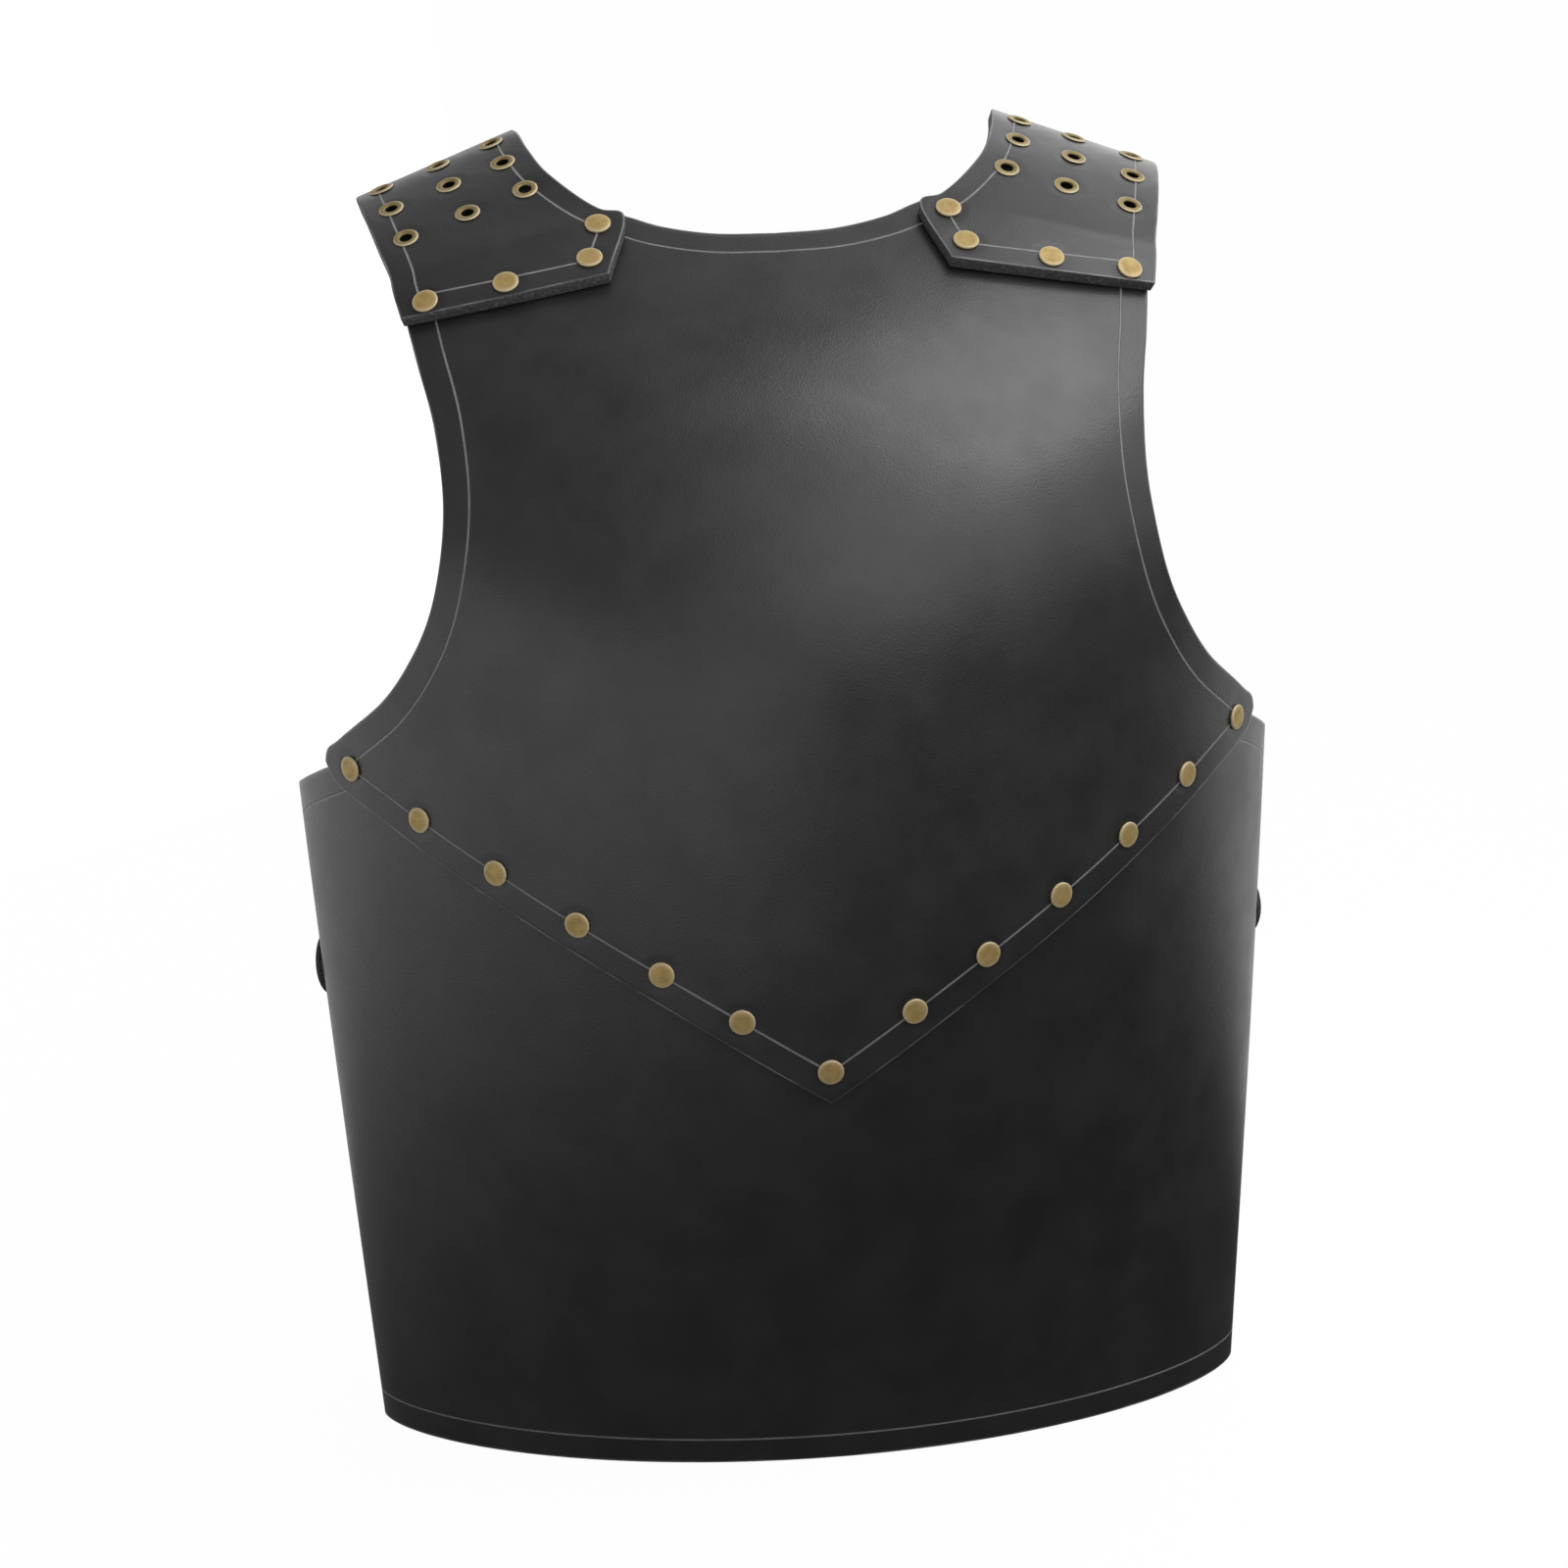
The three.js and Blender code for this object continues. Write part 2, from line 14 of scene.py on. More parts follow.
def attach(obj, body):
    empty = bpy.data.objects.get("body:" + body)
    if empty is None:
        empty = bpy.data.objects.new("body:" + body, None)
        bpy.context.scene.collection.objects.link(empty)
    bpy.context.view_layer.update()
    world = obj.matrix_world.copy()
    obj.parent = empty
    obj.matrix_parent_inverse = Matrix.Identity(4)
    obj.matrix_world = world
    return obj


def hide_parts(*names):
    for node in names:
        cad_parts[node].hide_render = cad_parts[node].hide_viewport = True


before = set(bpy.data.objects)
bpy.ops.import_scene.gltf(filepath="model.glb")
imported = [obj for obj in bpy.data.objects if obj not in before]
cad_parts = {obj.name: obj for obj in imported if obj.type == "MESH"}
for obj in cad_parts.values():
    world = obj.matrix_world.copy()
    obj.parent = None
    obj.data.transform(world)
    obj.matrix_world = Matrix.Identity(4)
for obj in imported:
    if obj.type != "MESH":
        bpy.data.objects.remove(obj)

log = logging.getLogger("breastplate")

MM = 0.001
ROOT = "root"
CENTRING = 5.7515  # mm along Y from the body's own axis to the middle of the whole
FLIP = np.array([-1.0, 1.0, 1.0])  # turns points and directions to the other side of X = 0
DRILL_SIDES = 28
BEVEL_ANGLE = math.radians(50)
WHITE = (1, 1, 1, 1)

Array = np.ndarray
Object = bpy.types.Object
Material = bpy.types.Material
Socket = bpy.types.NodeSocket
Pair = tuple[float, float]
Triple = tuple[float, float, float]


class Side(Enum):
    """Side of the plate; the value is the sign of X."""

    RIGHT = 1
    LEFT = -1

    def own(self, seats: list["Seat"]) -> list["Seat"]:
        """The seats that are on this side."""
        return [seat for seat in seats if seat.point[0] * self.value > 0]


# ---- curves


def unit(vectors: Array) -> Array:
    """The vectors of the last axis at length 1."""
    return vectors / np.linalg.norm(vectors, axis=-1, keepdims=True)


def lengths_along(points: Array) -> Array:
    """Length of a line of points up to each of them."""
    return np.concatenate([[0], np.cumsum(np.linalg.norm(np.diff(points, axis=0), axis=1))])


def smooth(keys: Array, values: Array, at: Array) -> Array:
    """Value of a table column at some keys, smooth between its rows.

    Args:
        keys: the rows' keys, rising.
        values: the rows' values.
        at: the keys to read.

    Returns:
        The values there.
    """
    at = np.asarray(at, float)
    last = len(keys) - 1
    i = np.clip(np.searchsorted(keys, at, side="left") - 1, 0, last - 1)
    before = np.maximum(np.arange(last + 1) - 1, 0)
    after = np.minimum(np.arange(last + 1) + 1, last)
    slopes = (values[after] - values[before]) / (keys[after] - keys[before])
    width = keys[i + 1] - keys[i]
    t = (at - keys[i]) / width
    rise = (3 - 2 * t) * t * t
    start = t * (1 - t) ** 2 * width * slopes[i]
    end = t * t * (t - 1) * width * slopes[i + 1]
    return values[i] * (1 - rise) + values[i + 1] * rise + start + end


def spline(points: Array, at: Array, centripetal: bool = False) -> Array:
    """Points of an open Catmull-Rom spline.

    Args:
        points: control points, one a row.
        at: places along it, from 0 to 1, each stretch between control points taking the same share.
        centripetal: whether the knots are spaced by the root of the distance.

    Returns:
        One point for each place.
    """
    count = len(points)
    ends = np.vstack([2 * points[0] - points[1], points, 2 * points[-1] - points[-2]])
    where = np.asarray(at, float) * (count - 1)
    i = np.clip(np.floor(where).astype(int), 0, count - 2)
    t = (where - i)[:, None]
    p0, p1, p2, p3 = (ends[i + k] for k in range(4))
    if centripetal:
        d0, d1, d2 = (
            np.sqrt(np.linalg.norm(b - a, axis=1, keepdims=True)) for a, b in ((p0, p1), (p1, p2), (p2, p3))
        )
        start = ((p1 - p0) / d0 - (p2 - p0) / (d0 + d1) + (p2 - p1) / d1) * d1
        end = ((p2 - p1) / d1 - (p3 - p1) / (d1 + d2) + (p3 - p2) / d2) * d1
    else:
        start, end = 0.5 * (p2 - p0), 0.5 * (p3 - p1)
    c2 = -3 * p1 + 3 * p2 - 2 * start - end
    c3 = 2 * p1 - 2 * p2 + start + end
    return p1 + start * t + c2 * t**2 + c3 * t**3


# ---- the body that the leather is formed over


@dataclass(frozen=True)
class Section:
    """Level section of the body, in millimetres."""

    height: float
    half_width: float
    front: float
    middle: float
    roundness: float


@dataclass
class Body:
    """Smooth body under the plates; turn is 0 at the front line and grows towards +X."""

    sections: tuple[Section, ...] = (
        Section(0, 175, 64, 12, 1.55),
        Section(150, 185, 101, 14, 1.3),
        Section(300, 194, 111, 20, 1.3),
        Section(370, 196, 99, 24, 1.65),
        Section(430, 197, 56, 30, 1.7),
        Section(500, 197, -42, 42, 1.5),
    )
    turn_step: float = 0.002
    height_step: float = 0.5

    def column(self, name: str, height: Array) -> Array:
        """One measure of the section at some heights.

        Args:
            name: the section's field.
            height: heights in millimetres.

        Returns:
            The measure at each height.
        """
        keys = np.array([s.height for s in self.sections], float)
        values = np.array([getattr(s, name) for s in self.sections], float)
        return smooth(keys, values, height)

    def point(self, turn: Array, height: Array) -> Array:
        """Points of the surface.

        Args:
            turn: angles in radians.
            height: heights in millimetres.

        Returns:
            Points in millimetres, X, Y and Z in the last axis.
        """
        middle = self.column("middle", height)
        depth = self.column("front", height) + middle
        cosine = np.cos(turn)
        back = np.sign(cosine) * np.abs(cosine) ** (2 / self.column("roundness", height))
        x = self.column("half_width", height) * np.sin(turn)
        return np.stack([x, middle - depth * back + CENTRING, height + 0 * x], axis=-1)

    def normal(self, turn: Array, height: Array) -> Array:
        """Outward unit normals of the surface.

        Args:
            turn: angles in radians.
            height: heights in millimetres.

        Returns:
            One unit vector for each place.
        """
        across = self.point(turn + self.turn_step, height) - self.point(turn - self.turn_step, height)
        up = self.point(turn, height + self.height_step) - self.point(turn, height - self.height_step)
        return unit(np.cross(across, up))

    def over(self, turn: Array, height: Array, distance: float) -> Array:
        """Points at turns and heights, a distance in millimetres outside the surface."""
        return self.point(turn, height) + distance * self.normal(turn, height)

    def turn_at(self, reach: Array, height: Array) -> Array:
        """Turn at which the surface stands at a reach along X, at some heights, in millimetres."""
        return np.arcsin(np.minimum(1, reach / self.column("half_width", height)))


BODY = Body()


@dataclass(frozen=True)
class Seat:
    """Place of a fastener: the point under its cap and the way it faces, in millimetres."""

    point: Array
    normal: Array

    def mirrored(self) -> "Seat":
        """The same place on the other side of X = 0."""
        return Seat(self.point * FLIP, self.normal * FLIP)


def on_both_sides(seats: list[Seat]) -> list[Seat]:
    """The seats and their mirror images."""
    return [*seats, *(seat.mirrored() for seat in seats)]


# ---- node graphs and finishes


def rgba(colour: Triple, share: float = 1.0) -> tuple[float, ...]:
    """The colour made brighter or darker by a share, with full opacity."""
    return (*(share * channel for channel in colour), 1)


class Graph:
    """Short hand for building a node tree."""

    def __init__(self, tree: bpy.types.NodeTree) -> None:
        """Takes the tree that nodes are added to."""
        self.tree = tree

    def add(self, kind: str, inputs: dict | None = None, **settings: object) -> bpy.types.Node:
        """Adds a node.

        Args:
            kind: the node's type name.
            inputs: values or sockets for its inputs, by name or index.
            settings: the node's own properties.

        Returns:
            The node.
        """
        node = self.tree.nodes.new(kind)
        for name, value in settings.items():
            setattr(node, name, value)
        for name, value in (inputs or {}).items():
            if isinstance(value, Socket):
                self.tree.links.new(value, node.inputs[name])
            else:
                node.inputs[name].default_value = value
        return node

    def first(self, kind: str, inputs: dict, **settings: object) -> Socket:
        """First output of a new node, added as add does."""
        return self.add(kind, inputs, **settings).outputs[0]

    def math(self, operation: str, *values: object) -> Socket:
        """Result of a Math node over numbers or sockets."""
        return self.first("ShaderNodeMath", dict(enumerate(values)), operation=operation)

    def coordinates(self, kind: str = "Object") -> Socket:
        """Texture coordinates of one kind."""
        return self.add("ShaderNodeTexCoord").outputs[kind]

    def attribute(self, name: str) -> Socket:
        """Value of a point attribute."""
        return self.add("ShaderNodeAttribute", attribute_name=name).outputs["Fac"]

    def noise(self, scale: float, detail: float, roughness: float = 0.5) -> Socket:
        """Noise over the object, by its cells a metre, its octaves and the strength of the finer ones."""
        inputs = {"Vector": self.coordinates(), "Scale": scale, "Detail": detail, "Roughness": roughness}
        return self.first("ShaderNodeTexNoise", inputs)

    def ranged(self, value: object, low: float, high: float, to_low: float, to_high: float) -> Socket:
        """A value between low and high, mapped smoothly to between to_low and to_high and held there."""
        inputs = {"Value": value, "From Min": low, "From Max": high, "To Min": to_low, "To Max": to_high}
        return self.first("ShaderNodeMapRange", inputs, interpolation_type="SMOOTHSTEP")

    def mixed(self, factor: object, first: object, second: object) -> Socket:
        """Two colours or colour sockets mixed, the factor being the share of the second."""
        inputs = {"Factor": factor, 6: first, 7: second}
        return self.add("ShaderNodeMix", inputs, data_type="RGBA").outputs[2]

    def relief(self, *layers: tuple[Socket, Pair]) -> Socket:
        """Normal of bumps laid over each other.

        Args:
            layers: each one's heights from 0 to 1, then its relief.

        Returns:
            The normal socket.
        """
        under = {}
        for height, (depth, strength) in layers:
            inputs = {"Height": height, "Distance": depth, "Strength": strength, **under}
            under = {"Normal": self.first("ShaderNodeBump", inputs)}
        return under["Normal"]


def bare(owner: bpy.types.ID) -> Graph:
    """Graph of a material or a world without its default nodes."""
    owner.use_nodes = True
    owner.node_tree.nodes.clear()
    return Graph(owner.node_tree)


@dataclass(frozen=True)
class Finish:
    """Procedural finish. In every finish a relief is a depth in metres and how much of it shows."""

    name: str

    def inputs(self, graph: Graph) -> dict:
        """Values or sockets for the shader's inputs, by name."""
        raise NotImplementedError

    def build(self) -> Material:
        """Builds the material.

        Returns:
            A material with one Principled shader.
        """
        material = bpy.data.materials.new(self.name)
        graph = bare(material)
        shader = graph.add("ShaderNodeBsdfPrincipled", self.inputs(graph))
        graph.add("ShaderNodeOutputMaterial", {"Surface": shader.outputs[0]})
        return material


@dataclass(frozen=True)
class GrainLeather(Finish):
    """Smooth dyed grain side: fine pores, mottled sheen and a creased border line, whose light grey is a
    painted highlight.

    It reads the attributes border and fastener, in metres, and paints a highlight along the cut edges and
    shade round the fasteners. Shares multiply the dye's colour.
    """

    name: str = "black_grain_leather"
    colour: Triple = (0.012, 0.012, 0.0125)
    # light grey of the crease line: painted highlight on the groove
    crease_highlight_colour: Triple = (0.14, 0.14, 0.14)
    line_inset: float = 0.011
    line_half: float = 0.00045
    line_roughness: float = 0.18
    roughness: float = 0.33
    specular: float = 0.5
    pores: float = 1150.0
    dark_share: float = 0.72
    light_share: float = 1.25
    speck_share: float = 2.2
    # painted light: a highlight along the cut edges and shade round the fasteners, each by its share and
    # reach
    edge_highlight_share: float = 15.0
    fastener_shade_share: float = 0.45
    edge_highlight_reach: Pair = (0.0002, 0.0011)
    fastener_shade_reach: Pair = (0.0052, 0.0085)
    dent_reach: Pair = (0.005, 0.009)
    pore_relief: Pair = (0.00005, 0.45)
    crease_relief: Pair = (0.00007, 0.35)
    wave_relief: Pair = (0.0007, 0.3)
    groove_relief: Pair = (0.0003, 0.8)
    dent_relief: Pair = (0.00025, 0.5)

    def dyed(self, graph: Graph, border: Socket, fastener: Socket) -> Socket:
        """Colour of the leather beside its border line: the dye, with a painted highlight along the cut edges
        and painted shade round the fasteners.

        Args:
            graph: the material's graph.
            border: distance from a cut edge.
            fastener: distance from a fastener.

        Returns:
            The colour socket.
        """
        mottled = graph.ranged(graph.noise(38, 5, 0.6), 0.3, 0.7, 0.0, 1.0)
        colour = graph.mixed(mottled, rgba(self.colour, self.dark_share), rgba(self.colour, self.light_share))
        speck = graph.ranged(graph.noise(900, 3, 0.7), 0.62, 0.78, 0.0, 0.35)
        patchy = graph.ranged(graph.noise(45, 3, 0.6), 0.38, 0.62, 0.25, 1.0)
        # painted highlight along the cut edges, patchy
        edge_highlight = graph.math("MULTIPLY", graph.ranged(border, *self.edge_highlight_reach, 0.9, 0.0), patchy)
        # painted shade round the fasteners
        fastener_shade = graph.ranged(fastener, *self.fastener_shade_reach, 0.6, 0.0)
        layers = ((speck, self.speck_share), (edge_highlight, self.edge_highlight_share), (fastener_shade, self.fastener_shade_share))
        for mask, share in layers:
            colour = graph.mixed(mask, colour, rgba(self.colour, share))
        return colour

    def inputs(self, graph: Graph) -> dict:
        """The shader's inputs.

        Args:
            graph: the material's graph.

        Returns:
            Values or sockets by name.
        """
        border, fastener = graph.attribute("border"), graph.attribute("fastener")
        off_line = graph.math("ABSOLUTE", graph.math("SUBTRACT", border, self.line_inset))
        line = graph.ranged(off_line, self.line_half * 0.45, self.line_half * 1.25, 1.0, 0.0)
        # the crease line's mask, patchy along its length: its light grey is a painted highlight, its groove a
        # bump
        shade = graph.math("MULTIPLY", line, graph.ranged(graph.noise(160, 2), 0.3, 0.7, 0.75, 1.1))
        least, most = self.roughness - 0.035, self.roughness + 0.05
        sheen = graph.ranged(graph.noise(55, 4, 0.55), 0.25, 0.75, least, most)
        cells = {"Vector": graph.coordinates(), "Scale": self.pores, "Randomness": 1.0}
        pore = graph.add("ShaderNodeTexVoronoi", cells).outputs["Distance"]
        normal = graph.relief(
            (graph.ranged(pore, 0.0, 0.75, 0.0, 1.0), self.pore_relief),
            (graph.noise(420, 4, 0.6), self.crease_relief),
            (graph.noise(26, 3, 0.5), self.wave_relief),
            (graph.math("SUBTRACT", 1.0, line), self.groove_relief),
            (graph.ranged(fastener, *self.dent_reach, 0.0, 1.0), self.dent_relief),
        )
        return {
            "Base Color": graph.mixed(shade, self.dyed(graph, border, fastener), rgba(self.crease_highlight_colour)),
            "Roughness": graph.math("ADD", sheen, graph.math("MULTIPLY", shade, self.line_roughness)),
            "Specular IOR Level": self.specular,
            "Normal": normal,
        }


@dataclass(frozen=True)
class CutLeather(Finish):
    """Cut edge: layered fibres, dyed but dry."""

    name: str = "cut_leather_edge"
    colour: Triple = (0.028, 0.028, 0.028)
    fibre: Triple = (0.11, 0.107, 0.103)
    fibre_scale: float = 620.0
    clump_scale: float = 210.0
    shown: float = 0.8
    specular: float = 0.35
    clump_relief: Pair = (0.0005, 0.8)
    fibre_relief: Pair = (0.00045, 0.9)

    def inputs(self, graph: Graph) -> dict:
        """The shader's inputs.

        Args:
            graph: the material's graph.

        Returns:
            Values or sockets by name.
        """
        fibres = graph.noise(self.fibre_scale, 6, 0.72)
        clumps = graph.noise(self.clump_scale, 3, 0.6)
        bare_fibres = graph.ranged(fibres, 0.45, 0.72, 0.0, self.shown)
        mask = graph.math("MULTIPLY", bare_fibres, graph.ranged(clumps, 0.3, 0.7, 0.35, 1.0))
        return {
            "Base Color": graph.mixed(mask, rgba(self.colour), rgba(self.fibre)),
            "Roughness": graph.ranged(clumps, 0.3, 0.7, 0.62, 0.85),
            "Specular IOR Level": self.specular,
            "Normal": graph.relief((clumps, self.clump_relief), (fibres, self.fibre_relief)),
        }


@dataclass(frozen=True)
class FleshLeather(Finish):
    """Flesh side of the hide, against the body: short dry nap, unevenly dyed."""

    name: str = "flesh_side_leather"
    dark: Triple = (0.018, 0.016, 0.015)
    light: Triple = (0.060, 0.053, 0.047)
    nap_scale: float = 1500.0
    stain_scale: float = 24.0
    specular: float = 0.2
    stain_relief: Pair = (0.0012, 0.4)
    nap_relief: Pair = (0.0003, 0.8)

    def inputs(self, graph: Graph) -> dict:
        """The shader's inputs.

        Args:
            graph: the material's graph.

        Returns:
            Values or sockets by name.
        """
        nap = graph.noise(self.nap_scale, 5, 0.7)
        stains = graph.noise(self.stain_scale, 5, 0.65)
        raised = graph.ranged(nap, 0.35, 0.7, 0.2, 0.9)
        mask = graph.math("MULTIPLY", raised, graph.ranged(stains, 0.3, 0.7, 0.35, 1.0))
        return {
            "Base Color": graph.mixed(mask, rgba(self.dark), rgba(self.light)),
            "Roughness": graph.ranged(stains, 0.3, 0.7, 0.92, 0.8),
            "Specular IOR Level": self.specular,
            "Normal": graph.relief((stains, self.stain_relief), (nap, self.nap_relief)),
        }


@dataclass(frozen=True)
class AntiqueBrass(Finish):
    """Pale brass with a browned face, a painted highlight round the rim and painted shade down the bore, by
    the attributes rim and bore.
    """

    name: str = "antique_brass"
    bright: Triple = (0.335, 0.243, 0.098)
    dull: Triple = (0.265, 0.185, 0.066)
    # painted highlight round the rim
    rim_highlight: Triple = (0.52, 0.44, 0.29)
    # painted shade down the bore
    bore_shade: Triple = (0.006, 0.005, 0.004)
    roughness: float = 0.46
    metallic: float = 0.3
    specular: float = 0.15
    rim_highlight_share: float = 0.75
    fine_relief: Pair = (0.00005, 0.5)

    def inputs(self, graph: Graph) -> dict:
        """The shader's inputs.

        Args:
            graph: the material's graph.

        Returns:
            Values or sockets by name.
        """
        cloud, fine = graph.noise(240, 4, 0.6), graph.noise(1900, 3, 0.6)
        tone = graph.math("ADD", graph.math("MULTIPLY", cloud, 0.7), graph.math("MULTIPLY", fine, 0.3))
        face = graph.mixed(graph.ranged(tone, 0.38, 0.62, 0.0, 1.0), rgba(self.dull), rgba(self.bright))
        # painted highlight round the rim
        rim = graph.math("MULTIPLY", graph.attribute("rim"), self.rim_highlight_share)
        with_rim_highlight = graph.mixed(rim, face, rgba(self.rim_highlight))
        return {
            # painted shade down the bore
            "Base Color": graph.mixed(graph.attribute("bore"), with_rim_highlight, rgba(self.bore_shade)),
            "Roughness": graph.ranged(tone, 0.35, 0.65, self.roughness + 0.1, self.roughness - 0.06),
            "Metallic": self.metallic,
            "Specular IOR Level": self.specular,
            "Normal": graph.relief((fine, self.fine_relief)),
        }


# the strap's crease line gets a lighter painted highlight
STRAP_GRAIN = GrainLeather("strap_grain_leather", crease_highlight_colour=(0.17, 0.17, 0.17), line_inset=0.0092)
STRAP_EDGE = CutLeather("strap_cut_edge", (0.042, 0.042, 0.042), (0.16, 0.157, 0.152))
EYELET_BRASS = AntiqueBrass("eyelet_brass", (0.22, 0.17, 0.08), (0.17, 0.13, 0.055))


@dataclass
class Finishes:
    """Every finish, built once."""

    plate: Material = field(default_factory=GrainLeather().build)
    strap: Material = field(default_factory=STRAP_GRAIN.build)
    edge: Material = field(default_factory=CutLeather("plate_cut_edge", shown=0.35).build)
    strap_edge: Material = field(default_factory=STRAP_EDGE.build)
    flesh: Material = field(default_factory=FleshLeather().build)
    rivet: Material = field(default_factory=AntiqueBrass("rivet_brass").build)
    eyelet: Material = field(default_factory=EYELET_BRASS.build)


# ---- meshes


def new_object(name: str, mesh: bpy.types.Mesh) -> Object:
    """Object of a mesh, in the scene.

    Args:
        name: its name.
        mesh: its mesh.

    Returns:
        The object, at the origin.
    """
    obj = bpy.data.objects.new(name, mesh)
    bpy.context.scene.collection.objects.link(obj)
    return obj


def quads(index: Array) -> Array:
    """Faces between neighbours in a grid of indices."""
    return np.stack([index[:-1, :-1], index[:-1, 1:], index[1:, 1:], index[1:, :-1]], axis=-1).reshape(-1, 4)


def mesh_object(name: str, points: Array, faces: Array) -> Object:
    """Smooth shaded object of points and faces.

    Args:
        name: its name.
        points: in millimetres, X, Y and Z in the last axis.
        faces: indices of points, one face a row.

    Returns:
        The object, at the origin.
    """
    mesh = bpy.data.meshes.new(name)
    mesh.from_pydata((points.reshape(-1, 3) * MM).tolist(), [], faces.tolist())
    mesh.shade_smooth()
    return new_object(name, mesh)


def shell(name: str, outer: Array, inner: Array) -> Object:
    """Closed shell between two grids of points, with materials 0 outside, 1 round the rim and 2 inside.

    Args:
        name: the object's name.
        outer: points in millimetres, rows by columns by three.
        inner: the inner wall's points, in the same order.

    Returns:
        The object, smooth shaded.
    """
    count = outer.shape[0] * outer.shape[1]
    grid = np.arange(count).reshape(outer.shape[:2])
    faces = quads(grid)
    ring = np.concatenate([grid[0, :-1], grid[:-1, -1], grid[-1, :0:-1], grid[:0:-1, 0]])
    following = np.roll(ring, -1)
    rim = np.stack([ring + count, following + count, following, ring], axis=-1)
    obj = mesh_object(name, np.stack([outer, inner]), np.concatenate([faces, rim, faces[:, ::-1] + count]))
    index = np.repeat([0, 1, 2], [len(faces), len(rim), len(faces)])
    obj.data.polygons.foreach_set("material_index", index)
    return obj


def mirrored(points: Array) -> Array:
    """Grid of points mirrored across X = 0, its columns turned round so that faces still point out."""
    return (points * FLIP)[:, ::-1]


def finished(obj: Object, *materials: Material) -> None:
    """Gives an object its materials and makes its modifiers' result its mesh.

    Args:
        obj: object with live modifiers.
        materials: its materials in slot order, or none where its modifiers set them.
    """
    for material in materials:
        obj.data.materials.append(material)
    graph = bpy.context.evaluated_depsgraph_get()
    graph.update()
    mesh = bpy.data.meshes.new_from_object(obj.evaluated_get(graph), depsgraph=graph)
    obj.modifiers.clear()
    obj.data = mesh


def softened(obj: Object, width: float, segments: int = 3) -> None:
    """Rounds the sharp edges.

    Args:
        obj: the object.
        width: width of the rounding in metres.
        segments: faces across it.
    """
    bevel = obj.modifiers.new("edge", "BEVEL")
    bevel.width = width
    bevel.segments = segments
    bevel.limit_method = "ANGLE"
    bevel.angle_limit = BEVEL_ANGLE
    bevel.use_clamp_overlap = True


def drilled(obj: Object, seats: list[Seat], radius: float, reach: float) -> None:
    """Cuts a round hole along each seat's normal, for the fasteners' shanks and barrels.

    Args:
        obj: the piece.
        seats: where the holes are.
        radius: the holes' radius in millimetres.
        reach: how far the cut runs to each side of the seat, in millimetres.
    """
    finished(obj)
    drill = bmesh.new()
    for seat in seats:
        turn = Vector(seat.normal).to_track_quat("Z", "Y").to_matrix().to_4x4()
        place = Matrix.Translation(Vector(seat.point * MM)) @ turn
        bmesh.ops.create_cone(
            drill, cap_ends=True, segments=DRILL_SIDES, radius1=radius * MM, radius2=radius * MM,
            depth=2 * reach * MM, matrix=place,
        )
    mesh = bpy.data.meshes.new("drill")
    drill.to_mesh(mesh)
    drill.free()
    cutter = new_object("drill", mesh)
    cut = obj.modifiers.new("holes", "BOOLEAN")
    cut.operation = "DIFFERENCE"
    cut.solver = "EXACT"
    cut.object = cutter
    finished(obj)
    bpy.data.objects.remove(cutter)


def mark_distances(obj: Object, edges: list[Array], fasteners: list[Seat]) -> None:
    """Writes the attributes border and fastener: distances in metres from cut edges and from fasteners.

    Args:
        obj: a finished piece.
        edges: rows of points along its cut edges, in millimetres.
        fasteners: its rivets and eyelets.
    """
    border = np.concatenate([dense(edge) for edge in edges])
    centres = np.array([seat.point for seat in fasteners])
    for name, points in (("border", border), ("fastener", centres)):
        tree = KDTree(len(points))
        for i, point in enumerate(points * MM):
            tree.insert(point, i)
        tree.balance()
        distances = [tree.find(vertex.co)[2] for vertex in obj.data.vertices]
        attribute = obj.data.attributes.new(name, "FLOAT", "POINT")
        attribute.data.foreach_set("value", distances)


def dense(line: Array, step: float = 0.4) -> Array:
    """Points at even steps along a line of points, in millimetres.

    Args:
        line: the line's points.
        step: distance between the new points.

    Returns:
        The new points.
    """
    lengths = lengths_along(line)
    at = np.linspace(0, lengths[-1], max(2, int(lengths[-1] / step)))
    return np.stack([np.interp(at, lengths, line[:, k]) for k in range(3)], axis=-1)


def delivered(obj: Object, slot: str, *nodes: str) -> None:
    """Hands a finished piece to the frame.

    Args:
        obj: the piece.
        slot: the record's material slot; not used.
        nodes: the frame's nodes that it stands for.
    """
    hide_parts(*nodes)
    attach(obj, ROOT)
    log.info("%s: %d faces, stands for %d nodes", obj.name, len(obj.data.polygons), len(nodes))


# ---- plates


@dataclass(frozen=True)
class Outline:
    """Edge of a plate as rows of reach and height on the body, in millimetres."""

    rows: tuple[Pair, ...]
    samples: int = 400

    def places(self, shares: Array) -> Array:
        """Places along the edge at shares of its length over the body.

        Args:
            shares: from 0 to 1.

        Returns:
            Rows of turn and height.
        """
        rows = np.array(self.rows, float)
        control = np.stack([BODY.turn_at(rows[:, 0], rows[:, 1]), rows[:, 1]], axis=-1)
        fine = spline(control, np.linspace(0, 1, self.samples))
        lengths = lengths_along(BODY.point(fine[:, 0], fine[:, 1]))
        at = np.asarray(shares) * lengths[-1]
        return np.stack([np.interp(at, lengths, fine[:, k]) for k in range(2)], axis=-1)


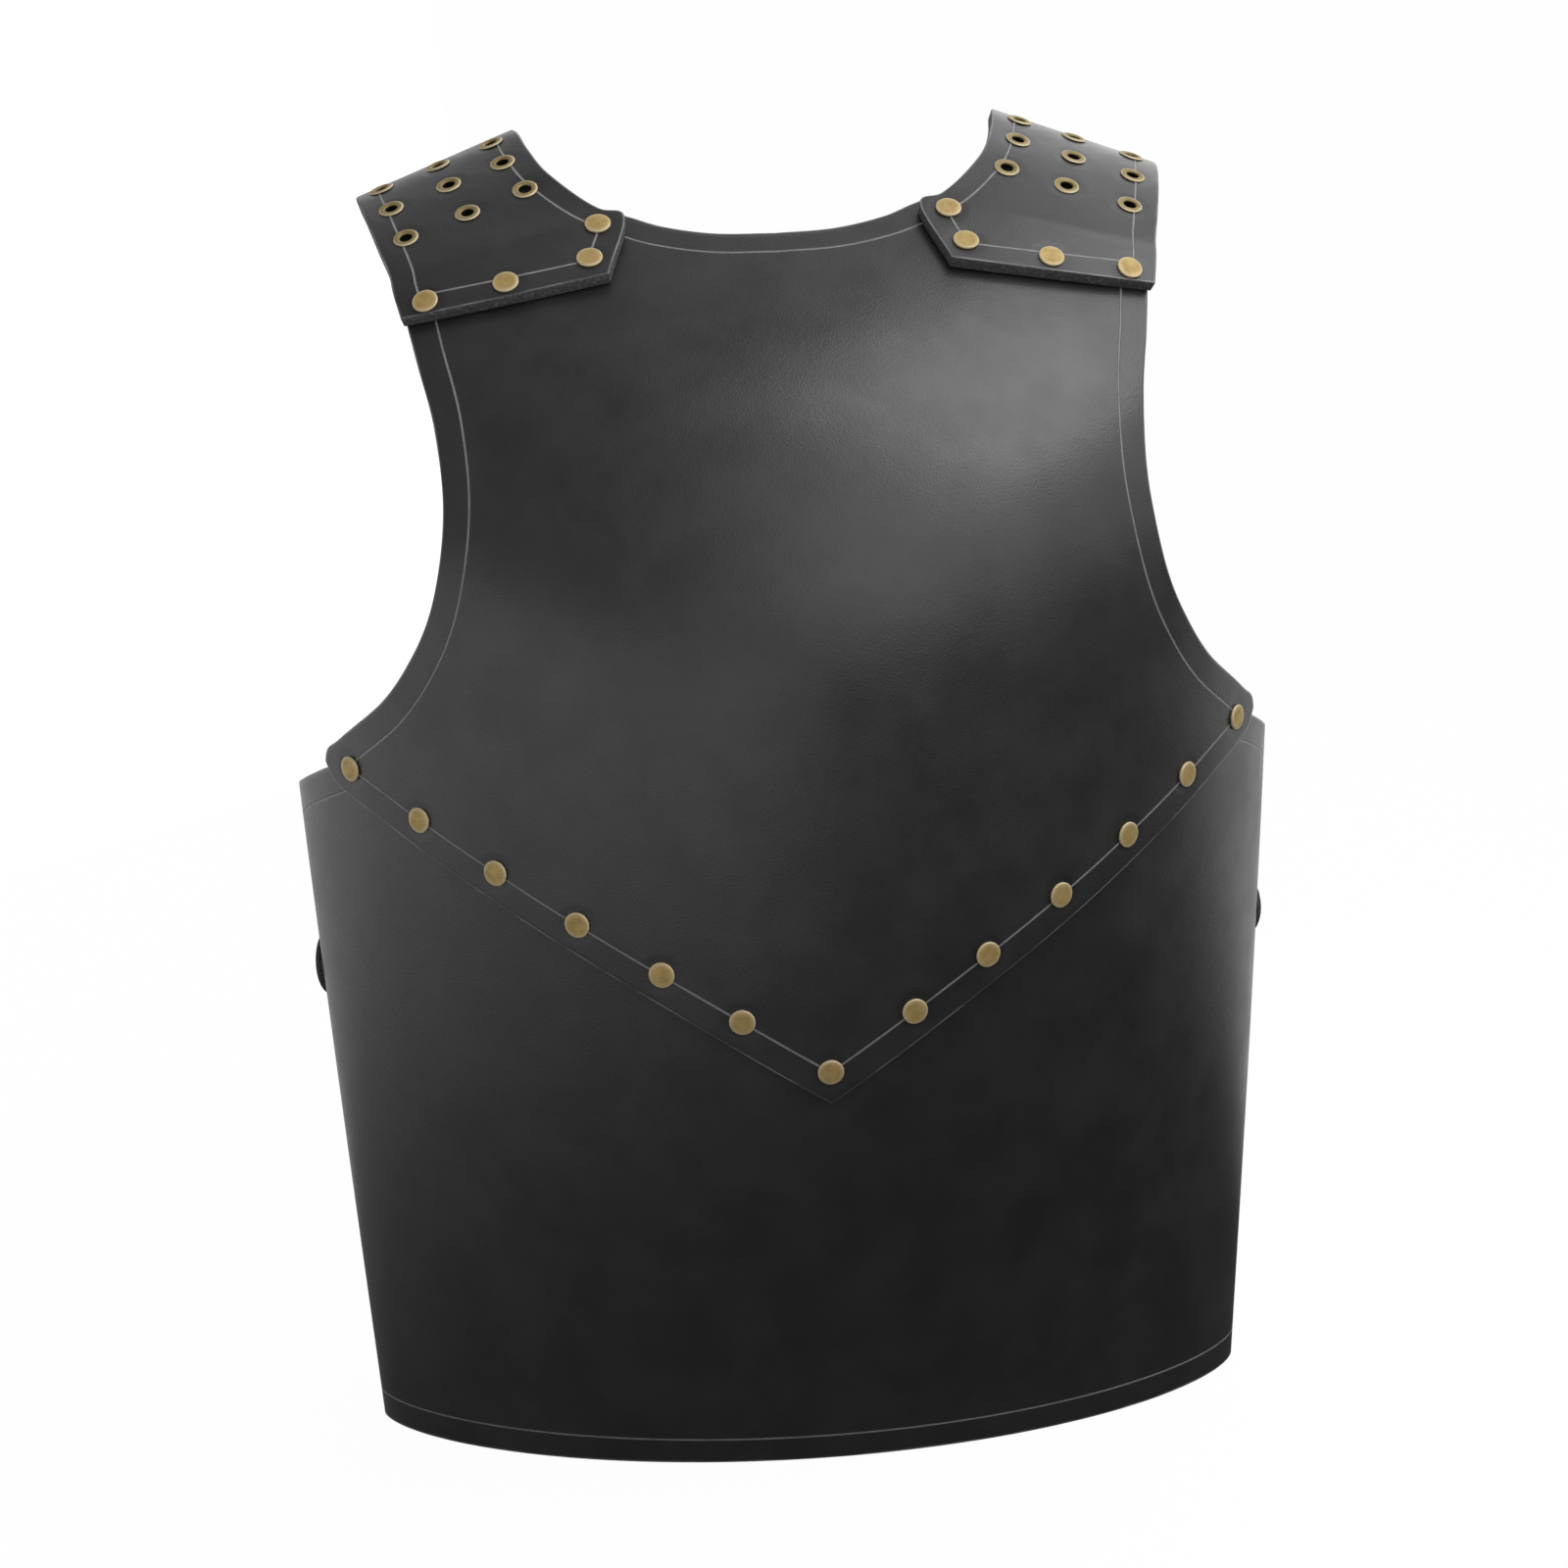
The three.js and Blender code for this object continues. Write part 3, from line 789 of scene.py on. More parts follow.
@dataclass
class Plates:
    """Chest plate riveted over the belly plate along the V edge."""

    finishes: Finishes
    thickness: float = 3.5
    gap: float = 1.0
    border: float = 11.0
    rear_turn: float = 118.0
    edge_rounding: float = 0.0005
    rivet_hole: float = 1.9
    chest_drill: float = 12.0
    belly_drill: float = 16.0
    v_edge: Outline = Outline(
        ((0, 161), (58.7, 200.5), (116, 236), (152.5, 259), (167, 268), (173.5, 273), (176.5, 280))
    )
    armhole: Outline = Outline((
        (176.5, 280), (175.2, 285.5), (169.9, 291), (154, 308), (141.5, 328), (132.7, 350), (127.7, 380),
        (129.5, 408), (135, 430.5), (137.8, 442), (140, 453),
    ))
    neckline: Outline = Outline(((0, 467.5), (22, 468.2), (41, 471.1), (53, 474.7), (59, 476.3)))
    shoulder_end: Outline = Outline(((59, 476.3), (140, 453)))
    belly_top: tuple[Pair, ...] = (
        (0, 186), (19, 224.5), (39, 258.5), (56, 286.5), (61, 286), (66, 278), (70, 274.5), (76, 270),
        (83, 266), (96, 262), (118, 262),
    )
    rivet_reaches: tuple[float, ...] = (31, 58.7, 87.5, 115.5, 142, 166.5)
    neck_share: float = 5 / 11
    chest_grid: tuple[int, int] = (220, 140)
    belly_grid: tuple[int, int] = (300, 100)

    @property
    def chest_outer(self) -> float:
        """How far the chest plate's face stands outside the body."""
        return self.gap + self.thickness

    def edge_seats(self) -> list[Seat]:
        """Seats of the edge rivets on the right half, the tip's first.

        Returns:
            One seat for each rivet from the tip outwards.
        """
        rows = np.array(self.v_edge.rows[:-2], float)
        reach = np.array([0.0, *self.rivet_reaches])
        here, there = (smooth(rows[:, 0], rows[:, 1], reach + step) for step in (0, 1))
        run = BODY.point(BODY.turn_at(reach + 1, there), there) - BODY.point(BODY.turn_at(reach, here), here)
        slope = np.arctan2(run[:, 2], np.hypot(run[:, 0], run[:, 1]))
        height = here + self.border / np.cos(slope)
        turn = BODY.turn_at(reach, height)
        points, normals = BODY.over(turn, height, self.chest_outer), BODY.normal(turn, height)
        return [Seat(p, n) for p, n in zip(points, normals)]

    def chest_places(self) -> Array:
        """Grid of turn and height over the chest plate, blended from its four edges.

        Returns:
            Rows by columns by two.
        """
        columns, rows = self.chest_grid
        s = np.linspace(0, 1, columns + 1)
        v = np.linspace(0, 1, rows + 1)[:, None, None]
        share, side = np.abs(2 * s - 1), np.sign(2 * s - 1)
        bottom = self.v_edge.places(share)
        neck = self.neckline.places(np.minimum(1, share / self.neck_share))
        end = self.shoulder_end.places(np.maximum(0, (share - self.neck_share) / (1 - self.neck_share)))
        top = np.where((share <= self.neck_share)[:, None], neck, end)
        arm = self.armhole.places(v[:, 0, 0])
        for edge in (bottom, top):
            edge[:, 0] *= side
        left, right = (arm * np.array([sign, 1.0]) for sign in (-1.0, 1.0))
        u = s[None, :, None]
        ruled = (1 - v) * bottom[None] + v * top[None] + (1 - u) * left[:, None] + u * right[:, None]
        low_corners = (1 - u) * (1 - v) * bottom[0] + u * (1 - v) * bottom[-1]
        high_corners = (1 - u) * v * top[0] + u * v * top[-1]
        return ruled - low_corners - high_corners

    def belly_places(self) -> Array:
        """Grid of turn and height over the belly plate.

        Returns:
            Rows by columns by two.
        """
        columns, rows = self.belly_grid
        turn = np.radians(np.linspace(-self.rear_turn, self.rear_turn, columns + 1))
        table = np.array(self.belly_top, float)
        top = smooth(table[:, 0], table[:, 1], np.degrees(np.abs(turn)))
        share = np.linspace(0, 1, rows + 1)[:, None]
        return np.stack([turn + 0 * share, top * share], axis=-1)

    def plate(
        self, name: str, places: Array, outer: float, holes: list[Seat], drill: float
    ) -> tuple[Object, Array]:
        """Leather plate over a grid of places. One whose face is the body's has its hem in the plane Z = 0.

        Args:
            name: its name.
            places: rows by columns of turn and height.
            outer: distance of its face from the body.
            holes: seats of the rivets that go through it.
            drill: how far a hole is cut to each side of its seat.

        Returns:
            The plate, and the grid of points of its face.
        """
        face, back = (BODY.over(places[..., 0], places[..., 1], d) for d in (outer, outer - self.thickness))
        if outer == 0:
            face[0, :, 2] = back[0, :, 2] = 0
        obj = shell(name, face, back)
        softened(obj, self.edge_rounding)
        drilled(obj, holes, self.rivet_hole, drill)
        finished(obj, self.finishes.plate, self.finishes.edge, self.finishes.flesh)
        return obj, face

    def build(self, tab_seats: list[Seat], strap_seats: list[Seat]) -> None:
        """Builds both plates.

        Args:
            tab_seats: the side tabs' rivets, which go through the belly plate.
            strap_seats: the straps' rivets, which go through the chest plate.
        """
        tip, *rest = self.edge_seats()
        edge_seats = [tip, *on_both_sides(rest)]
        holes = [*edge_seats, *strap_seats]
        places = self.chest_places()
        chest, face = self.plate("chest_leather", places, self.chest_outer, holes, self.chest_drill)
        middle = self.chest_grid[0] // 2
        neck = round(middle * self.neck_share)
        neckline = face[-1, middle - neck:middle + neck + 1]
        mark_distances(chest, [face[0], face[:, 0], face[:, -1], neckline], holes)
        delivered(chest, "plate_leather", "chest_plate")
        holes = [*edge_seats, *tab_seats]
        places = self.belly_places()
        belly, face = self.plate("belly_leather", places, 0.0, holes, self.belly_drill)
        mark_distances(belly, [face[0], face[-1], face[:, 0], face[:, -1]], tab_seats)
        delivered(belly, "plate_leather", "belly_plate")


# ---- straps


@dataclass
class Straps:
    """Two thick straps over the shoulders, each with four rivets and three rows of eyelets."""

    finishes: Finishes
    thickness: float = 5.0
    gap: float = 0.6
    lanes: int = 5
    grid: tuple[int, int] = (64, 190)
    edge_rounding: float = 0.0005
    eyelet_hole: float = 3.15
    rivet_hole: float = 1.9
    drill: float = 9.0
    normal_steps: Pair = (0.002, 0.01)
    on_chest: tuple[tuple[Pair, Pair], ...] = (
        ((62.9, 453.1), (138.1, 440.9)),
        ((55.8, 472.5), (141, 450)),
        ((64, 474.2), (142, 454.5)),
    )
    free: tuple[tuple[Triple, Triple], ...] = (
        ((82.5, 19, 494.8), (148.7, 6, 471.8)),
        ((89.4, 37, 503), (153, 26, 481)),
        ((92.7, 54, 508.3), (156, 46, 485.8)),
        ((95.3, 71, 507.6), (155.2, 67, 484.5)),
        ((98.5, 89, 500.5), (151.5, 85, 478.5)),
        ((101, 104, 488), (147.5, 101, 468.5)),
    )
    rivets: tuple[Pair, ...] = ((0.043, 0.875), (0.036, 0.51), (0.04, 0.125), (0.113, 0.119))
    eyelet_rows: tuple[float, ...] = (0.358, 0.482, 0.614)
    eyelet_columns: tuple[float, ...] = (0.167, 0.495, 0.843)

    def stations(self, chest_outer: float) -> Array:
        """Control points of the upper face, station by lane.

        Args:
            chest_outer: how far the chest plate's face stands outside the body.

        Returns:
            Stations by lanes by three, in millimetres.
        """
        shares = np.linspace(0, 1, self.lanes)[:, None]
        lift = chest_outer + self.gap + self.thickness
        found = []
        for table in (self.on_chest, self.free):
            for inner, outer in table:
                found.append(np.array(inner) * (1 - shares) + np.array(outer) * shares)
        laid = [BODY.over(BODY.turn_at(p[:, 0], p[:, 1]), p[:, 1], lift) for p in found[:len(self.on_chest)]]
        free = [places + np.array([0, CENTRING, 0]) for places in found[len(self.on_chest):]]
        return np.array([*laid, *free])

    def points(self, along: Array, across: Array) -> Array:
        """Points of the right strap's upper face.

        Args:
            along: places from the front end, 0, to the rear end, 1.
            across: places from the neck side, 0, to the arm side, 1.

        Returns:
            Along by across by three, in millimetres.
        """
        lanes = np.array([spline(self.control[:, i], along, centripetal=True) for i in range(self.lanes)])
        return np.array([spline(lanes[:, i], across) for i in range(len(along))])

    def normals(self, along: Array, across: Array) -> Array:
        """Outward normals of the upper face.

        Args:
            along: places from the front end to the rear end.
            across: places from the neck side to the arm side.

        Returns:
            Along by across by three.
        """
        step, aside = self.normal_steps
        a, s = np.clip(across, aside, 1 - aside), np.clip(along, step, 1 - step)
        width = self.points(s, a + aside) - self.points(s, a - aside)
        length = self.points(s + step, a) - self.points(s - step, a)
        return unit(np.cross(width, length))

    def seat(self, along: float, across: float) -> Seat:
        """Seat of a fastener on the right strap.

        Args:
            along: place along the strap.
            across: place across it.

        Returns:
            The seat on its upper face.
        """
        where = (np.array([along]), np.array([across]))
        return Seat(self.points(*where)[0, 0], self.normals(*where)[0, 0])

    def prepare(self, chest_outer: float) -> None:
        """Works out the strap's form and its fasteners' seats.

        Args:
            chest_outer: how far the chest plate's face stands outside the body.
        """
        self.control = self.stations(chest_outer)
        self.rivet_seats = on_both_sides([self.seat(*place) for place in self.rivets])
        self.eyelet_seats = on_both_sides(
            [self.seat(row, column) for row in self.eyelet_rows for column in self.eyelet_columns]
        )

    def build(self) -> None:
        """Builds both straps."""
        across, along = (np.linspace(0, 1, n + 1) for n in self.grid)
        face = self.points(along, across)
        back = face - self.thickness * self.normals(along, across)
        for side in Side:
            pair = (face, back) if side is Side.RIGHT else (mirrored(face), mirrored(back))
            label = side.name.lower()
            strap = shell(f"strap_leather_{label}", *pair)
            softened(strap, self.edge_rounding)
            rivets, eyelets = (side.own(seats) for seats in (self.rivet_seats, self.eyelet_seats))
            drilled(strap, rivets, self.rivet_hole, self.drill)
            drilled(strap, eyelets, self.eyelet_hole, self.drill)
            finished(strap, self.finishes.strap, self.finishes.strap_edge, self.finishes.flesh)
            top = pair[0]
            mark_distances(strap, [top[0], top[:, 0], top[:, -1]], [*rivets, *eyelets])
            delivered(strap, "strap_leather", f"shoulder_strap_{label}")


# ---- side tabs and buckle frames


@dataclass
class SideTabs:
    """Folded tabs on the sides, each riveted to the belly plate and holding a plain frame."""

    finishes: Finishes
    levels: tuple[tuple[str, float, float], ...] = (("upper", 187, 96), ("lower", 89, 102))
    tab_height: float = 28.0
    nose_least: float = 1.2
    leather: float = 1.8
    clear: float = 0.5
    layer_gap: float = 0.4
    edge_rounding: float = 0.0004
    rear_turn: float = 118.0
    rivet_back: float = 13.0
    rivet_hole: float = 1.9
    drill: float = 9.0
    loop_radius: float = 3.5
    loop_clear: float = 3.0
    frame_length: float = 24.0
    frame_height: float = 40.0
    frame_bar: float = 3.0
    frame_corner: float = 2.6
    bar_share: float = 0.98

    def run_table(self, height: float) -> tuple[Array, Array]:
        """Length round the body at a tab's height, from the tab's front, against turn.

        Args:
            height: the tab's middle height in millimetres.

        Returns:
            Turns and lengths.
        """
        front = {level: turn for _, level, turn in self.levels}[height]
        turns = np.radians(front) + np.arange(0, 0.9, 0.0005)
        return turns, lengths_along(BODY.point(turns, height + 0 * turns))

    def point(self, height: float, back: Array, out: Array, rise: Array) -> Array:
        """Points placed by how far back, out and up they are from the tab's front.

        Args:
            height: the tab's middle height.
            back: millimetres round the body.
            out: millimetres outside it.
            rise: millimetres above the middle height.

        Returns:
            Points in millimetres.
        """
        turns, lengths = self.run_table(height)
        turn = turns[0] + np.interp(back, lengths, turns - turns[0])
        turn = turn + np.minimum(0, back) / lengths[1] * (turns[1] - turns[0])
        level = height + rise
        return BODY.point(turn, level) + np.asarray(out)[..., None] * BODY.normal(turn, level)

    def plan(self, height: float) -> tuple[Array, float, float]:
        """Route of the folded strip: back over the plate, round the frame's bar and forward again.

        Args:
            height: the tab's middle height.

        Returns:
            Rows of back, out and half height, and the fold's back and out.
        """
        turns, lengths = self.run_table(height)
        plate_end = float(np.interp(math.radians(self.rear_turn), turns, lengths))
        inner = self.clear + self.leather / 2
        outer = inner + self.leather + self.layer_gap
        fold_back = plate_end + self.loop_radius + self.leather + self.loop_clear
        fold_out = (inner + outer) / 2
        half = self.tab_height / 2
        angles = np.radians(np.linspace(0, 90, 13))
        nose = np.stack([half * (1 - np.cos(angles)), np.maximum(self.nose_least, half * np.sin(angles))])
        rows = [(back, outer, tall) for back, tall in nose.T]
        rows += [(back, outer, half) for back in np.linspace(half, plate_end + 1, 8)[1:]]
        for angle in np.radians(np.linspace(120, -120, 25)):
            back = fold_back + self.loop_radius * math.cos(angle)
            rows.append((back, fold_out + self.loop_radius * math.sin(angle), half))
        rows += [(back, inner, half) for back in np.linspace(plate_end + 1, half, 8)[:-1]]
        rows += [(back, inner, tall) for back, tall in nose.T[::-1]]
        return np.array(rows), fold_back, fold_out

    def seat(self, height: float) -> Seat:
        """Seat of a right tab's rivet, on its outer face.

        Args:
            height: the tab's middle height.

        Returns:
            The seat.
        """
        out = np.array(self.clear + 2 * self.leather + self.layer_gap)
        back = np.array(self.rivet_back)
        point = self.point(height, back, out, np.array(0.0))
        ahead = self.point(height, back, out + 1, np.array(0.0))
        return Seat(point, ahead - point)

    def prepare(self) -> None:
        """Works out the seats of the tabs' rivets."""
        self.rivet_seats = on_both_sides([self.seat(height) for _, height, _ in self.levels])

    def build(self) -> None:
        """Builds the tabs and their frames."""
        for label, height, _ in self.levels:
            rows, fold_back, fold_out = self.plan(height)
            run = unit(np.gradient(rows[:, :2], axis=0))
            across = np.linspace(-1, 1, 13)[None, :]
            walls = []
            for sign in (-0.5, 0.5):
                back = rows[:, 0] - sign * self.leather * run[:, 1]
                out = rows[:, 1] + sign * self.leather * run[:, 0]
                rise = across * rows[:, 2:3]
                walls.append(self.point(height, back[:, None] + 0 * rise, out[:, None] + 0 * rise, rise))
            for side in Side:
                name = f"{side.name.lower()}_{label}"
                pair = walls if side is Side.RIGHT else [mirrored(wall) for wall in walls]
                self.build_tab(name, pair, side.own(self.rivet_seats))
                self.build_frame(name, side, height, fold_back, fold_out)

    def build_tab(self, name: str, walls: list[Array], seats: list[Seat]) -> None:
        """Builds one tab.

        Args:
            name: its side and level.
            walls: the strip's two faces.
            seats: rivet seats on its side.
        """
        tab = shell(f"tab_leather_{name}", *walls)
        softened(tab, self.edge_rounding, 2)
        middle = walls[0].mean(axis=(0, 1))[2]
        own = [min(seats, key=lambda seat: abs(seat.point[2] - middle))]
        drilled(tab, own, self.rivet_hole, self.drill)
        finished(tab, self.finishes.plate, self.finishes.edge, self.finishes.plate)
        mark_distances(tab, [walls[0][:, 0], walls[0][:, -1]], own)
        delivered(tab, "tab_leather", f"side_tab_{name}")

    def build_frame(self, name: str, side: Side, height: float, fold_back: float, fold_out: float) -> None:
        """Builds one plain rectangular frame of round bar.

        Args:
            name: its side and level.
            side: which side it is on.
            height: the tab's middle height.
            fold_back: how far back the fold's centre is.
            fold_out: how far out it is.
        """
        spots = [(fold_back, fold_out, 0.0), (fold_back + 1, fold_out, 0.0), (fold_back, fold_out, 1.0)]
        centre, ahead, above = (self.point(height, *(np.array(v) for v in spot)) for spot in spots)
        upward = unit(above - centre)
        outward = unit(np.cross(ahead - centre, upward))
        backward = np.cross(upward, outward)
        flat = self.frame_route()
        ring = centre + flat[:, :1] * backward + flat[:, 1:] * upward
        run = unit(np.roll(ring, -1, axis=0) - np.roll(ring, 1, axis=0))
        beside = np.cross(run, outward)
        angles = np.radians(np.arange(0, 360, 30))[None, :, None]
        radius = self.frame_bar / 2 * self.bar_share
        tube = ring[:, None] + radius * (np.cos(angles) * outward + np.sin(angles) * beside[:, None])
        if side is Side.LEFT:
            tube = tube * FLIP
        index = np.arange(tube.shape[0] * tube.shape[1]).reshape(tube.shape[:2])
        piece = mesh_object(f"buckle_brass_{name}", tube, quads(np.pad(index, ((0, 1), (0, 1)), mode="wrap")))
        fixed = bmesh.new()
        fixed.from_mesh(piece.data)
        bmesh.ops.recalc_face_normals(fixed, faces=fixed.faces)
        fixed.to_mesh(piece.data)
        fixed.free()
        piece.data.materials.append(self.finishes.rivet)
        delivered(piece, "buckle_brass", f"buckle_frame_{name}")

    def frame_route(self) -> Array:
        """Middle line of a frame's bar.

        Returns:
            Points back from the fold's centre and up from the tab's middle height, one a row.
        """
        corner, half = self.frame_corner, self.frame_bar / 2
        near, far = corner, self.frame_length - 2 * half - corner
        top = self.frame_height / 2 - half - corner
        line = []
        for x, y, start in ((far, top, 0), (near, top, 90), (near, -top, 180), (far, -top, 270)):
            for angle in np.radians(start + np.linspace(0, 90, 7)):
                line.append((x + corner * math.cos(angle), y + corner * math.sin(angle)))
        return np.array(line)


# ---- rivets and eyelets


@dataclass(frozen=True)
class Turned:
    """Fastener turned from a profile of radius and height, in millimetres, open or closed on itself."""

    name: str
    profile: tuple[Pair, ...]
    closed: bool
    bore: float = 0.0
    bore_margin: float = 0.05
    rim: float = 0.8
    rim_lead: float = 1.2
    sides: int = 40

    def build(self) -> Object:
        """The fastener, standing along +Z at the origin.

        Returns:
            An object to be repeated.
        """
        shape = bmesh.new()
        points = [shape.verts.new((r * MM, 0, z * MM)) for r, z in self.profile]
        pairs = list(zip(points, points[1:])) + ([(points[-1], points[0])] if self.closed else [])
        edges = [shape.edges.new(pair) for pair in pairs]
        bmesh.ops.spin(
            shape, geom=[*points, *edges], cent=(0, 0, 0), axis=(0, 0, 1), angle=2 * math.pi,
            steps=self.sides, use_duplicate=False,
        )
        bmesh.ops.remove_doubles(shape, verts=shape.verts, dist=1e-6)
        bmesh.ops.recalc_face_normals(shape, faces=shape.faces)
        mesh = bpy.data.meshes.new(self.name)
        shape.to_mesh(mesh)
        shape.free()
        mesh.shade_smooth()
        places = np.empty(3 * len(mesh.vertices), np.float32)
        mesh.vertices.foreach_get("co", places)
        x, y, z = places.reshape(-1, 3).T / MM
        reach = np.hypot(x, y)
        # rim marks the top's outer edge, where the brass paints a highlight
        rim = np.clip((reach - reach.max()) / self.rim + self.rim_lead, 0, 1) * (z > 0)
        # bore marks the inside of the barrel, where the brass paints shade
        bore = (reach < self.bore + self.bore_margin) & (z < 0)
        for name, values in (("rim", rim), ("bore", bore)):
            mesh.attributes.new(name, "FLOAT", "POINT").data.foreach_set("value", values.astype(np.float32))
        return new_object(self.name, mesh)


@dataclass
class Fasteners:
    """Rivets and eyelets, set by Geometry Nodes on their seats."""

    finishes: Finishes
    cap_radius: float = 4.9
    cap_height: float = 1.1
    crown_radius: float = 4.6
    crown_rise: float = 0.12
    rim_radius: float = 0.5
    flange_rise: float = 0.6
    seat_gap: float = 0.05
    shank_radius: float = 1.65
    back_radius: float = 3.6
    bore_radius: float = 2.45
    barrel_radius: float = 2.95
    barrel_past: float = 0.95
    chamfer: float = 0.3
    most_tilt: float = math.radians(1.2)

    def cap_profile(self) -> list[Pair]:
        """Profile of a rivet's cap: nearly flat top, rolled rim.

        Returns:
            Radii and heights from the middle of the top to the underside.
        """
        top = self.seat_gap + self.cap_height
        crown = [
            (r, top + self.crown_rise * (1 - (r / self.crown_radius) ** 2)) for r in (0.0, 1.5, 3.0, 4.2)
        ]
        middle, level = self.cap_radius - self.rim_radius, top - 0.02 - self.rim_radius
        turn = [
            (middle + self.rim_radius * math.sin(a), level + self.rim_radius * math.cos(a))
            for a in np.radians((0, 18, 36, 54, 72, 90))
        ]
        under = [(self.cap_radius - 0.05, self.seat_gap + 0.12), (self.cap_radius - 0.35, self.seat_gap)]
        return [*crown, *turn, *under]

    def rivet(self, name: str, grip: float) -> Turned:
        """Rivet for a depth of leather.

        Args:
            name: the fastener's name.
            grip: the leather's depth in millimetres.

        Returns:
            The turned shape.
        """
        low, wide = -(grip + self.seat_gap), self.back_radius
        back = [
            (self.shank_radius, low), (wide - self.chamfer, low), (wide, low - self.chamfer),
            (wide - self.chamfer, low - 0.7), (wide * 0.5, low - 0.95), (0.0, low - 1.0),
        ]
        return Turned(name, (*self.cap_profile(), (self.shank_radius, self.seat_gap), *back), False)

    def eyelet(self, name: str, grip: float) -> Turned:
        """Eyelet with a domed flange and a straight barrel.

        Args:
            name: the fastener's name.
            grip: the leather's depth in millimetres.

        Returns:
            The turned shape.
        """
        width = (self.cap_radius - self.bore_radius) / 2
        middle = self.bore_radius + width
        dome = [
            (middle + width * math.cos(a), self.seat_gap + 0.1 + self.flange_rise * math.sin(a))
            for a in np.radians((0, 14, 30, 50, 70, 90, 110, 130, 150, 166))
        ]
        end, seat = -grip - self.barrel_past, self.seat_gap
        wall = [
            (self.bore_radius, seat - self.chamfer), (self.bore_radius, end), (self.barrel_radius, end),
            (self.barrel_radius, seat), (self.cap_radius - self.chamfer, seat),
        ]
        return Turned(name, (*dome, *wall), True, self.bore_radius)

    def tree(self) -> bpy.types.NodeTree:
        """Geometry Nodes that set a fastener on every seat, with a seeded small tilt and turn about its axis.

        Returns:
            The node group.
        """
        tree = bpy.data.node_groups.new("fasteners_on_seats", "GeometryNodeTree")
        face = tree.interface
        face.new_socket("Seats", in_out="INPUT", socket_type="NodeSocketGeometry")
        kinds = {"Fastener": "Object", "Tilt": "Float", "Seed": "Int", "Finish": "Material"}
        for name, kind in kinds.items():
            face.new_socket(name, in_out="INPUT", socket_type=f"NodeSocket{kind}")
        face.new_socket("Set", in_out="OUTPUT", socket_type="NodeSocketGeometry")
        graph = Graph(tree)
        given = graph.add("NodeGroupInput").outputs
        named = {"Name": "facing"}
        facing = graph.first("GeometryNodeInputNamedAttribute", named, data_type="FLOAT_VECTOR")
        stand = graph.first("FunctionNodeAlignRotationToVector", {"Vector": facing}, axis="Z")
        tilt, low = given["Tilt"], graph.math("MULTIPLY", given["Tilt"], -1.0)
        angles = []
        for offset, (least, most) in enumerate(((low, tilt), (low, tilt), (-math.pi, math.pi))):
            inputs = {2: least, 3: most, "Seed": graph.math("ADD", given["Seed"], float(offset))}
            angles.append(graph.add("FunctionNodeRandomValue", inputs, data_type="FLOAT").outputs[1])
        euler = graph.first("ShaderNodeCombineXYZ", dict(enumerate(angles)))
        twist = graph.first("FunctionNodeEulerToRotation", {"Euler": euler})
        turned = graph.first("FunctionNodeRotateRotation", {0: stand, 1: twist}, rotation_space="LOCAL")
        shape = graph.add("GeometryNodeObjectInfo", {"Object": given["Fastener"]}).outputs["Geometry"]
        points = graph.first("GeometryNodeMeshToPoints", {"Mesh": given["Seats"]})
        inputs = {"Points": points, "Instance": shape, "Rotation": turned}
        placed = graph.first("GeometryNodeInstanceOnPoints", inputs)
        real = graph.first("GeometryNodeRealizeInstances", {0: placed})
        inputs = {"Geometry": real, "Material": given["Finish"]}
        graph.add("NodeGroupOutput", {"Set": graph.first("GeometryNodeSetMaterial", inputs)})
        return tree

    def place(
        self, name: str, shape: Turned, seats: list[Seat], finish: Material, slot: str, seed: int
    ) -> None:
        """Sets one kind of fastener on its seats as one piece.

        Args:
            name: the piece's name.
            shape: the fastener, named as the frame's nodes that the piece stands for begin.
            seats: where it goes.
            finish: its material.
            slot: the record's slot.
            seed: seed of its turns.
        """
        mesh = bpy.data.meshes.new(name)
        mesh.from_pydata([tuple(seat.point * MM) for seat in seats], [], [])
        facing = mesh.attributes.new("facing", "FLOAT_VECTOR", "POINT")
        facing.data.foreach_set("vector", np.array([seat.normal for seat in seats]).ravel())
        piece = new_object(name, mesh)
        source = shape.build()
        source.hide_render = True
        modifier = piece.modifiers.new("set", "NODES")
        modifier.node_group = self.nodes
        values = {"Fastener": source, "Tilt": self.most_tilt, "Seed": seed, "Finish": finish}
        for item in self.nodes.interface.items_tree:
            if item.name in values:
                modifier[item.identifier] = values[item.name]
        finished(piece)
        piece.data.shade_smooth()
        bpy.data.objects.remove(source)
        delivered(piece, slot, *(node for node in sorted(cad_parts) if node.startswith(shape.name)))

    def build(self, plates: Plates, straps: Straps, tabs: SideTabs) -> None:
        """Sets every rivet and eyelet.

        Args:
            plates: gives the edge rivets' seats.
            straps: gives the strap rivets' and the eyelets' seats.
            tabs: gives the tab rivets' seats.
        """
        self.nodes = self.tree()
        tip, *rest = plates.edge_seats()
        plate_grip = 2 * plates.thickness + plates.gap
        strap_grip = straps.thickness + straps.gap + plates.thickness
        tab_grip = 2 * tabs.leather + tabs.layer_gap + tabs.clear + plates.thickness
        rivets = (
            ("edge_rivet", plate_grip, [tip, *on_both_sides(rest)], 3),
            ("strap_rivet", strap_grip, straps.rivet_seats, 14),
            ("tab_rivet", tab_grip, tabs.rivet_seats, 25),
        )
        for kind, grip, seats, seed in rivets:
            self.place(f"{kind}s", self.rivet(kind, grip), seats, self.finishes.rivet, "rivet_brass", seed)
        shape = self.eyelet("eyelet", straps.thickness)
        self.place("eyelets", shape, straps.eyelet_seats, self.finishes.eyelet, "eyelet_brass", 41)


# ---- studio


